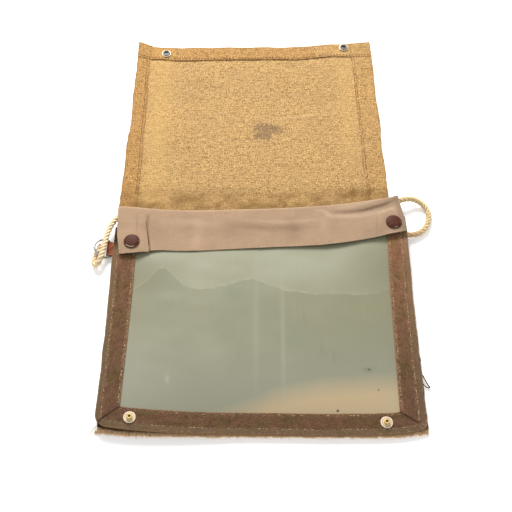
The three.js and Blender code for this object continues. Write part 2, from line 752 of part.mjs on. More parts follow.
// Flap and strip
const flapHoles = Object.values(flapPlaces).map((place) => (
  { ...place, radius: rivetHole, bottom: 0 }
));
addPiece('flap', drilled(flapSheet(), flapHoles), 'flapCanvas');
const stripHoles = Object.values(stripPlaces).map((place) => (
  { x: place.x, y: place.y, radius: rivetHole, bottom: place.top + STUD_FLANGE_HEIGHT }
));
addPiece('weather_strip', drilled(weatherStrip(), stripHoles), 'cotton');

// Press studs
const level = () => 0;
const plyShank = CLEARANCE + 0.8 * BINDING_PLY;
for (const [name, place] of Object.entries(stripPlaces)) {
  const studZ = place.top + CLEARANCE;
  const socketZ = studZ + STUD_FLANGE_HEIGHT + CLEARANCE;
  const capZ = socketZ + SOCKET_HEIGHT + CLEARANCE + STRIP_COTTON + CLEARANCE;
  const profile = studProfile(STUD_BOSS_HEIGHT, plyShank);
  seated(`strip_stud_${name}`, profile, 'brass', place, studZ, panelUnder);
  seated(`strip_socket_${name}`, socketProfile(), 'brass', place, socketZ, level);
  const shank = CLEARANCE + STRIP_COTTON + CLEARANCE / 2;
  const dome = capProfile(CAP_DIAMETER, CAP_HEIGHT, shank);
  seated(`strip_cap_${name}`, dome, 'capEnamel', place, capZ, level);
}
for (const [name, place] of Object.entries(closingPlaces)) {
  const profile = studProfile(CLOSING_BOSS_HEIGHT, plyShank);
  seated(`closing_stud_${name}`, profile, 'brass', place, place.top + CLEARANCE, panelUnder);
}
for (const [name, place] of Object.entries(flapPlaces)) {
  const under = flapUnder(place.x, place.y);
  const top = under + HEM_THICKNESS;
  seated(`flap_socket_${name}`, socketProfile(), 'brass', place, top + CLEARANCE, flapUnder);
  const shank = CLEARANCE + HEM_THICKNESS;
  const dome = capProfile(FLAP_CAP_DIAMETER, FLAP_CAP_HEIGHT, shank);
  const cap = seated(`flap_cap_${name}`, dome, 'capEnamel', place, under - CLEARANCE, level);
  cap.rotation.x = Math.PI;
}

// Ring, tab and cord
addPiece('leather_tab', leatherTab(), 'leather');
addPiece('d_ring', dRing(), 'steel');
addPiece('cord', tube(CORD_ROUTE, CORD_DIAMETER, CORD_SIDES, CORD_STEPS), 'rope');
addPiece('cord_hitch', tube(HITCH_ROUTE, CORD_DIAMETER, CORD_SIDES, HITCH_STEPS), 'rope');

export default mapCase;
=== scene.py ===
# %% [markdown]
# # An old canvas map case, open on its back
# The case is one flat pocket. Its back is raw-edged canvas, its front is a clear sheet held in
# folded canvas bindings, and a cotton weather strip snaps down over the mouth. A canvas flap is
# thrown back away from the camera. Everything here is thin cloth, so each piece is built as a
# sheet with two sides and a real thickness, in millimetres, and turned into metres at the end.

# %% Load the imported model
import math

import bmesh
import bpy
import numpy as np
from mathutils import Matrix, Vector
from mathutils.bvhtree import BVHTree


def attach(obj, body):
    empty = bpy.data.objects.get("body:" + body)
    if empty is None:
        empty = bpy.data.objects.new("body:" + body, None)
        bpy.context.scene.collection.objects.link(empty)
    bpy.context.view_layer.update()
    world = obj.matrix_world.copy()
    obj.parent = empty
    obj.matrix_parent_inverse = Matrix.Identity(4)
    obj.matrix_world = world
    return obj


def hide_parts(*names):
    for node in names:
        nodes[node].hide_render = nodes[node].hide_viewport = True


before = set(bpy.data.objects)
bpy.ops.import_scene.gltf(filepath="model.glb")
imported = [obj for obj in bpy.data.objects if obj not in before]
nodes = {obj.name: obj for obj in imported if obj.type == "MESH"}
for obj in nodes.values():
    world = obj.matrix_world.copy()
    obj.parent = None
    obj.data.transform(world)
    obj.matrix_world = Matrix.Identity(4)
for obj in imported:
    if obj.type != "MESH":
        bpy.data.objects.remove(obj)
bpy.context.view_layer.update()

MM = 0.001

# %% [markdown]
# ## Camera
# The photograph looks down on the case at 56.5 degrees from about 86 cm away. The two numbers
# came from how fast the sides converge and from how round the press studs look.

# %% Camera
CAMERA_PLACE = Vector((-4.5, -527.2, 718.0))
CAMERA_AIM = Vector((-4.5, -52.0, 0.0))
camera = bpy.data.objects.new("camera", bpy.data.cameras.new("camera"))
bpy.context.scene.collection.objects.link(camera)
camera.data.lens = 63.63
camera.data.sensor_width = 36
camera.location = CAMERA_PLACE * MM
view = CAMERA_AIM * MM - camera.location
camera.rotation_euler = view.to_track_quat("-Z", "Y").to_euler()
bpy.context.scene.camera = camera
print("Camera looks down at", round(math.degrees(math.asin(-view.z / view.length)), 1), "degrees")

# %% [markdown]
# ## Curves and ripples
# Old cloth is never quite straight or flat. Its edges follow smooth curves through a few places
# taken from the photograph, and its faces have soft ripples. A ripple is a sum of sine waves with
# a fixed seed, so it needs no texture and comes out the same each time the file runs.

# %% Smooth curves and uneven surfaces
def fade(value, full, none):
    """1 up to full, 0 from none on, and smooth between them."""
    t = np.clip((value - full) / (none - full), 0, 1)
    return 1 - t * t * (3 - 2 * t)


def mix(a, b, t):
    return a + (b - a) * t


def smooth_curve(places, values, at):
    """A smooth curve through a few given points."""
    places = np.asarray(places, float)
    values = np.asarray(values, float)
    slopes = np.gradient(values, places)
    at = np.clip(at, places[0], places[-1])
    low = np.clip(np.searchsorted(places, at) - 1, 0, len(places) - 2)
    span = places[low + 1] - places[low]
    t = (at - places[low]) / span
    rise = values[low] * (1 + 2 * t) * (1 - t) ** 2 + values[low + 1] * t * t * (3 - 2 * t)
    lean = slopes[low] * t * (1 - t) ** 2 - slopes[low + 1] * t * t * (1 - t)
    return rise + span * lean


def ripple(x, y, size, seed):
    """Soft unevenness from about -1 to 1, in humps of about this size."""
    random = np.random.default_rng(seed)
    total = 0
    for _ in range(14):
        angle, phase = random.uniform(0, 2 * np.pi, 2)
        wave = size * random.uniform(0.7, 1.7)
        total = total + np.sin(2 * np.pi * (x * np.cos(angle) + y * np.sin(angle)) / wave + phase)
    return total / 3.7


def spline(points, spacing):
    """Even steps along a smooth curve through the points."""
    points = np.asarray(points, float)
    padded = np.vstack([2 * points[0] - points[1], points, 2 * points[-1] - points[-2]])
    fine = []
    for i in range(1, len(padded) - 2):
        p = padded[i - 1:i + 3]
        knot = np.concatenate([[0], np.cumsum(np.linalg.norm(np.diff(p, axis=0), axis=1) ** 0.5)])
        t = np.linspace(knot[1], knot[2], 24, endpoint=False)[:, None]
        line = [mix(p[k], p[k + 1], (t - knot[k]) / (knot[k + 1] - knot[k])) for k in range(3)]
        bend = [mix(line[k], line[k + 1], (t - knot[k]) / (knot[k + 2] - knot[k])) for k in range(2)]
        fine.append(mix(bend[0], bend[1], (t - knot[1]) / (knot[2] - knot[1])))
    fine = np.vstack(fine + [points[-1:]])
    run = np.concatenate([[0], np.cumsum(np.linalg.norm(np.diff(fine, axis=0), axis=1))])
    at = np.linspace(0, run[-1], max(2, int(run[-1] / spacing)) + 1)
    return np.stack([np.interp(at, run, fine[:, k]) for k in range(3)], 1), at


print("A ripple reaches", round(float(np.abs(ripple(np.arange(500.0), 0, 20, 1)).max()), 2), "in a test")

# %% [markdown]
# ## Pieces from points
# Everything on the case is thin cloth, rope, wire or thread, so its pieces are built from rows of
# points rather than from blocks. Each piece keeps a "cloth" map in millimetres, so a weave in a
# material has its real thread size, however the piece bends. It also keeps painted marks, one
# number for each point, that tell its material where it is worn, soiled or in shade.

# %% Meshes and painted marks
def mesh_piece(name, points, faces, cloth, sharp=50):
    """A piece from points in millimetres. cloth has one flat place for each face corner."""
    mesh = bpy.data.meshes.new(name)
    mesh.from_pydata((np.asarray(points) * MM).tolist(), [], faces)
    layer = mesh.uv_layers.new(name="cloth")
    layer.data.foreach_set("uv", np.asarray(cloth, np.float32).ravel())
    shape = bmesh.new()
    shape.from_mesh(mesh)
    bmesh.ops.recalc_face_normals(shape, faces=shape.faces)
    shape.to_mesh(mesh)
    shape.free()
    mesh.shade_smooth()
    mesh.set_sharp_from_angle(angle=math.radians(sharp))
    made = bpy.data.objects.new(name, mesh)
    bpy.context.scene.collection.objects.link(made)
    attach(made, "root")
    return made


def paint(piece, name, values):
    """Keep one number for each point of a piece, for its material to read."""
    values = np.asarray(values, np.float32).ravel()
    piece.data.attributes.new(name, "FLOAT", "POINT").data.foreach_set("value", values)


def quads(a, b, c, d):
    return np.stack([a, b, c, d], -1).reshape(-1, 4)


print("One face joins the points", quads(0, 1, 2, 3)[0].tolist())

# %% [markdown]
# A sheet lies between an upper and a lower grid of points. Real cloth has no knife edge, so one
# more row of points half way down rounds its rim.

# %% Sheets
def sheet_piece(name, upper, lower, cloth, bulge=0.25, marks=None):
    """A sheet between two grids of points, with a rounded edge all round it."""
    rows, cols = upper.shape[:2]
    count = rows * cols
    ids = np.arange(count).reshape(rows, cols)
    faces = [quads(ids[:-1, :-1], ids[:-1, 1:], ids[1:, 1:], ids[1:, :-1])]
    faces.append(faces[0][:, ::-1] + count)
    border = np.concatenate([ids[0, :-1], ids[:-1, -1], ids[-1, :0:-1], ids[:0:-1, 0]])
    inner_ids = np.pad(ids[1:-1, 1:-1], 1, mode="edge")
    inner = np.concatenate([
        inner_ids[0, :-1], inner_ids[:-1, -1], inner_ids[-1, :0:-1], inner_ids[:0:-1, 0]])
    flat_upper = upper.reshape(-1, 3)
    flat_lower = lower.reshape(-1, 3)
    out = flat_upper[border] - flat_upper[inner]
    out /= np.linalg.norm(out, axis=1, keepdims=True) + 1e-9
    rim = (flat_upper[border] + flat_lower[border]) / 2 + bulge * out
    rim_ids = 2 * count + np.arange(len(border))
    after = np.roll(np.arange(len(border)), -1)
    faces.append(quads(border, border[after], rim_ids[after], rim_ids))
    faces.append(quads(rim_ids, rim_ids[after], border[after] + count, border + count))
    points = np.vstack([flat_upper, flat_lower, rim])
    faces = np.vstack(faces)
    place = np.vstack([cloth.reshape(-1, 2), cloth.reshape(-1, 2), cloth.reshape(-1, 2)[border]])
    piece = mesh_piece(name, points, faces.tolist(), place[faces.ravel()])
    for mark, values in (marks or {}).items():
        values = values.ravel()
        paint(piece, mark, np.concatenate([values, values, values[border]]))
    return piece


print("Ready to lay sheets with a rounded rim")

# %% [markdown]
# A rod is a row of rings along a path. The rope, the wire ring, the threads and even the folded
# bindings are rods. The two directions across the path are carried along without twisting, so a
# rod turns only where its rings say so.

# %% Rods
def rod_piece(name, rings, along, around, closed=False, sharp=50):
    """A rod through rings of points. along and around are its flat places, in millimetres."""
    rows, cols = rings.shape[:2]
    ids = np.arange(rows * cols).reshape(rows, cols)
    next_rows = np.roll(ids, -1, 0) if closed else ids[1:]
    these = ids if closed else ids[:-1]
    faces = quads(these, np.roll(these, -1, 1), np.roll(next_rows, -1, 1), next_rows)
    step = along[1] - along[0]
    start = np.repeat(along[:len(these)], cols)
    left = np.tile(around[:-1], len(these))
    right = np.tile(around[1:], len(these))
    cloth = np.stack([
        np.stack([start, left], 1), np.stack([start, right], 1),
        np.stack([start + step, right], 1), np.stack([start + step, left], 1)], 1)
    faces, cloth = faces.tolist(), cloth.reshape(-1, 2)
    if not closed:
        faces += [ids[0, ::-1].tolist(), ids[-1].tolist()]
        cloth = np.vstack([cloth, np.zeros((2 * cols, 2))])
    return mesh_piece(name, rings.reshape(-1, 3), faces, cloth, sharp)


def frames(path, closed=False):
    """Two directions across a path at each of its points, carried along without twisting."""
    before = np.roll(path, 1, 0) if closed else np.vstack([path[:1], path[:-1]])
    after = np.roll(path, -1, 0) if closed else np.vstack([path[1:], path[-1:]])
    along = after - before
    along /= np.linalg.norm(along, axis=1, keepdims=True)
    side = np.cross(along[0], [0.12, 0.2, 1.0])
    sides = []
    for direction in along:
        side = side - direction * side.dot(direction)
        side = side / np.linalg.norm(side)
        sides.append(side)
    sides = np.array(sides)
    return sides, np.cross(along, sides)


def rings_round(path, radii, angles, closed=False):
    """Rings round a path. radii and angles have one row for each of its points."""
    side, up = frames(path, closed)
    across = radii * np.cos(angles)
    height = radii * np.sin(angles)
    return path[:, None] + across[..., None] * side[:, None] + height[..., None] * up[:, None]


print("Ready to run rods along a path")

# %% [markdown]
# ## The carrying cord
# The cord is a limp three-strand rope. It comes out of the right side seam, lies in a loop on
# the table, runs inside the fold of the weather strip and ends in a turn through the ring.
# Its route repeats the points of the CAD model.

# %% Route of the cord
CORD_DIAMETER = 5.2
CORD_ROUTE = [
    [129.5, -31.4, 4.56], [136.5, -31.2, 4.56], [142.5, -30.6, 4.2], [148.5, -29.3, 3.4],
    [154.7, -26.1, 2.85], [159.5, -21.2, 2.68], [162.7, -14.1, 2.66], [164.3, -6.9, 2.68],
    [163.2, 0.2, 2.9], [159.7, 5.6, 3.8], [154.5, 9.0, 5.4], [148.0, 10.4, 7.1],
    [141.0, 9.0, 8.3], [133.0, 6.6, 8.6], [120.0, 3.4, 8.6], [107.0, 0.6, 8.5],
    [88.0, -2.6, 7.7], [67.6, -4.6, 7.4], [30.0, -7.2, 7.35], [-10.0, -8.2, 7.35],
    [-58.9, -9.6, 7.35], [-92.0, -9.4, 7.6], [-112.0, -8.8, 8.4], [-128.0, -9.7, 8.6],
    [-137.6, -13.0, 8.8], [-142.2, -19.6, 8.7], [-145.0, -26.8, 8.7], [-146.6, -34.7, 9.0],
    [-147.5, -42.0, 9.4], [-148.6, -50.0, 9.7],
]
HITCH_ROUTE = [
    [-148.66, -50.4, 9.71], [-149.0, -53.6, 9.6], [-149.8, -57.6, 9.3], [-151.2, -61.6, 8.0],
    [-153.6, -64.6, 5.6], [-156.4, -63.4, 3.4], [-157.2, -58.6, 2.7], [-156.2, -53.2, 2.66],
    [-154.4, -47.6, 2.66], [-152.8, -41.6, 2.8],
]
print("The cord's route has", len(CORD_ROUTE), "places, and its turn has", len(HITCH_ROUTE))

# %% [markdown]
# Three round strands laid together make the rope's section, and turning that section along the
# route lays the rope. Three twisted tubes would do too, with three times the faces. A soft rope
# is fuller than its plain tube, so its strands stand out a bit, and none may go under the table.
# The sewn-in end at the right is grimy, and the end at the ring has bleached. Both are marks
# that follow the length of the rope.

# %% Rope
CORD_LAY = 13.0
ROPE_SIDES = 36
STRAND_RADIUS = 0.58
STRAND_REACH = 0.42
ROPE_FULLNESS = 1.1
TABLE_GAP = 0.05
SOILED_UNTIL = (12, 34)
BLEACHED_FROM = (290, 330)


def rope(name, route, start):
    """A laid rope along a route. start is the length of rope before it, so the lay runs on."""
    path, run = spline(route, 0.7)
    turn = 2 * np.pi * np.arange(ROPE_SIDES) / ROPE_SIDES
    outline = np.zeros(ROPE_SIDES)
    for strand in range(3):
        away = turn - 2 * np.pi * strand / 3
        inside = np.maximum(STRAND_RADIUS ** 2 - (STRAND_REACH * np.sin(away)) ** 2, 0)
        outline = np.maximum(outline, STRAND_REACH * np.cos(away) + np.sqrt(inside))
    place = run + start
    lay = 2 * np.pi * (place + 1.2 * ripple(place, 0 * place, 60, 3)) / CORD_LAY
    angles = turn[None] + lay[:, None]
    swell = 1 + 0.025 * ripple(place[:, None] * 1.0, 9 * turn[None], 14, 5)
    size = ROPE_FULLNESS * CORD_DIAMETER / 2 * swell
    rings = rings_round(path, size * outline[None], angles)
    rings[..., 2] = np.maximum(rings[..., 2], TABLE_GAP)
    piece = rod_piece(name, rings, place, np.linspace(0, 3, ROPE_SIDES + 1), sharp=80)
    ridge = (outline - outline.min()) / (1 - outline.min())
    paint(piece, "ridge", np.tile(ridge, (len(path), 1)))
    paint(piece, "soil", np.repeat(fade(place, *SOILED_UNTIL), ROPE_SIDES))
    paint(piece, "bleached", np.repeat(1 - fade(place, *BLEACHED_FROM), ROPE_SIDES))
    print(name, "is", round(run[-1], 1), "mm long, in", len(path), "rings")
    return piece, path, run[-1]


cord, cord_path, cord_length = rope("carrying_cord", CORD_ROUTE, 0)
hitch, hitch_path, _ = rope("cord_turn", HITCH_ROUTE, cord_length)
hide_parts("cord")
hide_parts("cord_hitch")

# %% [markdown]
# ## Sizes of the body
# The front panel rests on the back, and is held up at the left by the leather tab and at the
# right by the cord in the seam. At the bottom left the seam has opened, so the panel stands
# off the back there. These are the same sizes and shapes as in the CAD model.

# %% Sizes and the lie of the front panel, in millimetres
BACK_CANVAS = 1.6
BINDING_PLY = 1.0
WINDOW_SHEET = 0.7
STRIP_COTTON = 0.9
LEATHER_PLY = 1.1
FLAP_CANVAS = 1.2
CLEARANCE = 0.3
BODY_WIDTH = 280.0
BODY_LENGTH = 234.0
HALF_BODY = BODY_WIDTH / 2
BOTTOM_WIDTH = 19.5
SEAT = BACK_CANVAS + CLEARANCE
BINDING_THICKNESS = 2 * BINDING_PLY + WINDOW_SHEET + 2 * CLEARANCE
STRIP_DEPTH = 50.0
OPEN_SEAM_RISE = 4.6
BOTTOM_ACROSS = [0, 0.06, 0.25, 0.5, 0.75, 0.94, 1]
FRONT_BOTTOM = [0.971, 0.982, 0.998, 1.001, 1.004, 0.995, 0.981]
BACK_BOTTOM = [0.983, 0.993, 1.001, 1.003, 1.005, 1.0, 0.99]
SIDES = {
    "left": {"side": -1, "top": 1.17, "bottom": 1.03, "upper_end": 0.48},
    "right": {"side": 1, "top": 1.0, "bottom": 1.15, "upper_end": 0.26},
}
LIFTS = [
    {"side": -1, "rise": 2.8, "full_across": 0.83, "full_down": 0.25},
    {"side": 1, "rise": 5.5, "full_across": 0.83, "full_down": 0.19},
]


def panel_under(x, y):
    """Height of the front panel's underside over the table."""
    height = SEAT
    for lift in LIFTS:
        across = 1 - fade(lift["side"] * x / HALF_BODY, 0.42, lift["full_across"])
        height = height + lift["rise"] * across * fade(-y / BODY_LENGTH, lift["full_down"], 0.42)
    seam = fade((x + HALF_BODY) / BODY_WIDTH, 0.02, 0.5) * (1 - fade(-y / BODY_LENGTH, 0.5, 0.97))
    return height + OPEN_SEAM_RISE * seam


def front_bottom(x):
    return -BODY_LENGTH * smooth_curve(BOTTOM_ACROSS, FRONT_BOTTOM, (x + HALF_BODY) / BODY_WIDTH)


def back_bottom(x):
    return -BODY_LENGTH * smooth_curve(BOTTOM_ACROSS, BACK_BOTTOM, (x + HALF_BODY) / BODY_WIDTH)


def side_width(binding, down):
    return BOTTOM_WIDTH * mix(binding["top"], binding["bottom"], np.clip(down, 0, 1))


def grid(columns, rows):
    """Two arrays, of the place across and the place down, for a grid of points."""
    return np.meshgrid(np.asarray(columns, float), np.asarray(rows, float))


def stack(x, y, z):
    return np.stack(np.broadcast_arrays(x, y, z), -1).astype(float)


print("Body:", BODY_WIDTH, "by", BODY_LENGTH, "mm, bindings", round(BINDING_THICKNESS, 2), "mm thick")

# %% [markdown]
# ## The back panel
# The back is one thick canvas, cut with raw edges. Its edge wanders a little where threads have
# worked loose, and it lies flat on the table. A plane with a displace modifier would roughen its
# face as well, but would leave the edge straight, so here the grid's own edge is moved.

# %% Back panel
across, down = grid(np.linspace(0, 1, 121), np.linspace(0, 1, 101))
left = -HALF_BODY - BODY_WIDTH * smooth_curve([0, 0.3, 0.7, 1], [-0.004, -0.001, 0, -0.004], down)
right = HALF_BODY + BODY_WIDTH * smooth_curve([0, 0.3, 0.7, 1], [-0.006, -0.001, 0.002, 0.003], down)
x = mix(left, right, across)
bottom = back_bottom(mix(-HALF_BODY, HALF_BODY, across))
y = mix(3.0, bottom, down)
edge = np.minimum(np.minimum(across, 1 - across) * BODY_WIDTH, (1 - down) * BODY_LENGTH)
ragged = fade(edge, 0, 5)
x = x + 0.45 * ragged * ripple(x * 0.3, y, 7, 21)
y = y + 0.5 * ragged * ripple(x, y * 0.3, 8, 22)
top = BACK_CANVAS + 0.12 * ripple(x, y, 9, 23) * (1 - ragged) - 0.35 * ragged
# Its last mark lays painted shade on the part of the back that lies under the front.
back = sheet_piece(
    "back_canvas", stack(x, y, top), stack(x, y, 0.0), stack(x, y, 0)[..., :2],
    marks={"wear": ragged, "painted_deep_shade": 1 - fade(y - back_bottom(x), 2.2, 3.8)})
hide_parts("back_panel")
print("Back panel:", len(back.data.polygons), "faces")

# %% [markdown]
# ## The bindings
# Each binding is a tape of canvas folded over the edge of the window. Its section is a flat
# letter C that grips the sheet. Sewing pulls the tape down along the two stitch lines, and the
# cloth between them stands up a little like a pillow. A strip with a solidify modifier could be
# bent round the edge instead, but on a section it is easier to say where the cloth dips.

# %% Section of a binding
STITCH_OUTER = 5.0
STITCH_INNER = 2.0
STITCH_PITCH = 3.2
EDGE_ROUND = 0.9
FOLD_INSIDE = 2.2


def binding_section(width, count=30):
    """Distances in from the outer edge and heights, once round the folded tape."""
    top = BINDING_THICKNESS
    section = [(mix(EDGE_ROUND, width - 0.25, share), top) for share in np.linspace(1, 0, count)[1:]]
    for angle in np.radians(np.linspace(90, 270, 9)[1:-1]):
        section.append((EDGE_ROUND * (1 + np.cos(angle)), top / 2 + top / 2 * np.sin(angle)))
    section += [(mix(EDGE_ROUND, width, share), 0) for share in (0, 0.33, 0.66)]
    section += [
        (width, 0), (width, BINDING_PLY), (FOLD_INSIDE, BINDING_PLY), (FOLD_INSIDE - 0.4, 1.2),
        (FOLD_INSIDE - 0.4, 2.1), (FOLD_INSIDE, 2.3), (width, top - BINDING_PLY), (width, top - 0.3),
        (width - 0.25, top)]
    one = np.ones_like(width)
    distances = np.stack([distance * one for distance, height in section], 1)
    heights = np.stack([height * one for distance, height in section], 1)
    return distances, heights


def sewn(distance, width, place, seed):
    """How far the upper face of a binding stands over or under its plain height."""
    pucker = 0.65 + 0.35 * np.cos(2 * np.pi * place / STITCH_PITCH)
    pull = 0
    for at in (STITCH_OUTER, width - STITCH_INNER):
        pull = pull + pucker * np.exp(-((distance - at) / 0.9) ** 2)
    pillow = ripple(distance * 1.5, place, 16, seed)
    return -0.3 * pull + 0.16 * pillow


print("A binding's section has", binding_section(np.ones(1))[0].shape[1], "points")

# %% [markdown]
# The two bottom corners have worn round. The edges and seams have rubbed pale, most of all along
# the stitch lines, where the thread holds the cloth up. The gaps at the mitres, where two bindings
# meet, and the upper end of the left binding under the strip get painted shade, and the upper ends
# are lighter with painted light. None of that is in the section, so it is painted as marks for the
# material.

# %% Worn corners and marks of the bindings
CORNER_ROUND = {-1: 9.0, 1: 5.0}
RIGHT_ROW_IN = 1.6
SEAM_WEAR = {"binding_left": 0.85, "binding_right": 1.0, "binding_bottom": 0.45}


def blunt(x, y):
    """Round the two bottom corners of the front, as wear has done."""
    x, y = np.broadcast_arrays(np.asarray(x, float), y)
    for side, size in CORNER_ROUND.items():
        corner = float(front_bottom(np.array(side * HALF_BODY)))
        out = 1 - np.clip((HALF_BODY - side * x) / size, 0, 1)
        low = 1 - np.clip((y - corner) / size, -0.1, 1)
        here = (out > 0) & (low > 0)
        new_out = out * np.sqrt(1 - np.clip(low, 0, 1) ** 2 / 2)
        new_low = low * np.sqrt(1 - out ** 2 / 2)
        x = np.where(here, x - side * size * (out - new_out), x)
        y = np.where(here, y + size * (low - new_low), y)
    return x, y


def paint_binding(piece, name, x, y, distance, width, mitre, upper):
    """Marks: worn edges and seams, painted light on the upper end, painted shade at the mitres."""
    near_edge = np.where(upper, np.minimum(distance, width - distance), 0)
    corner = 0.8 * fade(np.hypot(x - HALF_BODY, y + FRONT_BOTTOM[-1] * BODY_LENGTH), 4, 11)
    paint(piece, "wear", np.maximum(np.exp(-np.clip(near_edge, 0, 99) / 1.2), corner))
    seam = STITCH_OUTER + RIGHT_ROW_IN * (x > 0) * (name != "binding_bottom")
    rubbed = np.exp(-((distance - seam) / 1.3) ** 2) + fade(width - distance, 1.5, 4.5)
    paint(piece, "rubbed", np.where(upper, rubbed * SEAM_WEAR[name], 0))
    paint(piece, "outer", fade(distance, STITCH_OUTER - 1.0, STITCH_OUTER + 0.6))
    # Painted shade on the left binding's upper end under the strip, and in the open mitre gaps.
    shaded = fade(-y, 38, 54) * (x < 0) * fade(distance, 7, 11)
    open_mitre = 1 - 0.8 * (x > 0) * fade(distance, 4, 9)
    gap = open_mitre * fade(mitre + 0 * distance, 0.5, 1.9)
    paint(piece, "mitre", np.maximum(gap, shaded))
    # Painted light: the bindings get lighter toward their upper ends, more on the right.
    paint(piece, "pale", fade(-y, 40, 190) * (0.7 + 0.3 * np.sign(x)))


def lay_binding(name, distance, height, width, locate, along, seed, mitre, ledge):
    """A binding from its section. locate gives the place of each distance along it, mitre is how
    far each ring lies from a mitred end, and ledge lifts or sinks that end."""
    x, y = blunt(*locate(distance))
    upper = height > BINDING_THICKNESS - 0.05
    lift = sewn(distance, width[:, None], along[:, None], seed)
    lift = lift + ledge * np.exp(-(mitre[:, None] / 3.5) ** 2)
    rings = stack(x, y, panel_under(x, y) + height + np.where(upper, lift, 0))
    first = np.vstack([rings[0], rings[0][:1]])
    around = np.concatenate([[0], np.cumsum(np.linalg.norm(np.diff(first, axis=0), axis=1))])
    piece = rod_piece(name, rings, along, around, sharp=60)
    paint_binding(piece, name, x, y, distance, width[:, None], mitre[:, None], upper)
    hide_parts(name)
    return piece


print("Worn corners are rounded by", list(CORNER_ROUND.values()), "mm")

# %% [markdown]
# The side bindings run from under the weather strip to the bottom corners, where their ends are
# cut slanting to meet the bottom binding. Their outer edges wander a little, as hand-guided
# sewing does.

# %% Side bindings
def side_x(side, distance, y):
    """The place across of a point this far in from a side binding's outer edge."""
    wander = 0.35 * fade(distance, 1, 8) * ripple(y, 0 * y, 34, 31 + side)
    return side * (HALF_BODY - distance + wander * fade(-y, 215, 230))


bindings = {}
for seed, (name, binding) in enumerate(SIDES.items()):
    side = binding["side"]
    share = np.linspace(0, 1, 200)
    corner = float(front_bottom(np.array(side * HALF_BODY)))
    upper_end = -binding["upper_end"] * STRIP_DEPTH
    end_width = float(side_width(binding, 1))
    inner = float(front_bottom(np.array(side * (HALF_BODY - end_width)))) + BOTTOM_WIDTH
    width = side_width(binding, mix(upper_end, corner, share) / -BODY_LENGTH)
    distance, height = binding_section(width)

    def locate_side(distance):
        mitre = mix(corner, inner, distance / end_width) + CLEARANCE / 2
        y = mix(upper_end, mitre, share[:, None])
        return side_x(side, distance, y), y

    along = share * (upper_end - corner)
    bindings[name] = lay_binding(
        f"binding_{name}", distance, height, width, locate_side, along, 41 + seed,
        along[-1] - along, -0.35)
    print("Binding at the", name, "is", round(float(along[-1]), 1), "mm long")

# %% [markdown]
# The bottom binding closes the front between the two mitres. Its ends stand up a little over the
# side bindings there, and its outer edge follows the slightly curved bottom of the front.

# %% Bottom binding
left_width = float(side_width(SIDES["left"], 1))
right_width = float(side_width(SIDES["right"], 1))
share = np.linspace(0, 1, 240)


def locate_bottom(distance):
    inward = distance / BOTTOM_WIDTH
    start = -HALF_BODY + inward * left_width + CLEARANCE / 2
    end = HALF_BODY - inward * right_width - CLEARANCE / 2
    x = mix(start, end, share[:, None])
    outer = front_bottom(mix(-HALF_BODY, HALF_BODY, share))[:, None]
    y = mix(outer, front_bottom(x) + BOTTOM_WIDTH, inward)
    return x, y


width = np.full(len(share), BOTTOM_WIDTH)
distance, height = binding_section(width)
bindings["bottom"] = lay_binding(
    "binding_bottom", distance, height, width, locate_bottom, share * BODY_WIDTH, 47,
    np.minimum(share, 1 - share) * BODY_WIDTH, 0.45)
for name, piece in bindings.items():
    piece.name = f"binding_tape_{name}"
print("Bindings:", [len(piece.data.polygons) for piece in bindings.values()], "faces")

# %% [markdown]
# ## The window
# The window is a stiff clear sheet that has yellowed and buckled. It bulges a little, so the
# pocket stays open. Long low waves in it bend the reflections, as they do in old celluloid.
# Sculpting could give the same bulge. A formula keeps it exactly inside the bindings.

# %% Shape of the window
WINDOW_TOP_EDGE = 13.0
WINDOW_CROWN = 4.2


def window_edge(side, y):
    binding = SIDES["left"] if side < 0 else SIDES["right"]
    return side * (HALF_BODY - side_width(binding, -y / BODY_LENGTH))


across, down = grid(np.linspace(-1, 1, 171), np.linspace(0, 1, 137))
bottom = front_bottom(across * (HALF_BODY - BOTTOM_WIDTH)) + BOTTOM_WIDTH
y = mix(-WINDOW_TOP_EDGE, bottom - 3.4, down)
x = np.where(across < 0, window_edge(-1, y), window_edge(1, y)) * np.abs(across)
x = x + 3.4 * np.sign(across) * fade(1 - np.abs(across), 0, 0.02)
crown = WINDOW_CROWN * (1 - across ** 4) * (1 - np.clip(y / bottom, 0, 1) ** 6)
inside = (1 - across ** 8) * (1 - np.clip(y / bottom, 0, 1) ** 8)
buckle = 0.11 * ripple(x, 0.35 * y, 60, 61) + 0.03 * ripple(x, y, 24, 62)
z = panel_under(x, y) + BINDING_PLY + CLEARANCE + crown + buckle * inside
print("Window: bulges", WINDOW_CROWN, "mm and reaches", round(float(-y.min()), 1), "mm down the body")

# %% [markdown]
# What shows on the window is not a print but haze, glare and stains. A milky haze ends in a wavy
# line, one lower corner is clearer, and a few creases catch the light. Their places are read off
# the photograph in millimetres and kept as marks, so the material can mix its tones by them.

# %% Haze, glare and creases of the window
HAZE_LINE = np.array([
    [-125, -92], [-114.9, -91.7], [-102.9, -82.1], [-94.3, -71.1], [-88.5, -71.1], [-83.5, -76.6],
    [-70.2, -90.3], [-58.6, -93.5], [-42.6, -93.5], [-22.0, -86.3], [-8.2, -82.1], [5.6, -89.0],
    [21.6, -95.6], [48.9, -99.7], [69.5, -98.8], [92.3, -99.7], [111.8, -95.6], [124, -90]])
CLEAR_LINE = np.array([
    [-60, -222], [-31.1, -213.4], [-7.9, -204.3], [9.2, -196.2], [28.6, -190.3], [54.6, -185.6],
    [76.2, -184.4], [124, -179.8]])
haze = y - np.interp(x, HAZE_LINE[:, 0], HAZE_LINE[:, 1])
clear = np.interp(x, CLEAR_LINE[:, 0], CLEAR_LINE[:, 1]) - y
glow = np.exp(-((x - 42) / 48) ** 2 - ((y + 68) / 20) ** 2)
SPECKS = [
    (93.0, -174.6, 4.2, 1.8, 0.5), (39.1, -122.0, 1.3, 7.0, 0.12), (53.6, -154.6, 1.2, 7.0, 0.14),
    (64.2, -164.4, 1.2, 7.0, 0.14), (-20.3, -159.3, 1.2, 6.0, 0.1)]
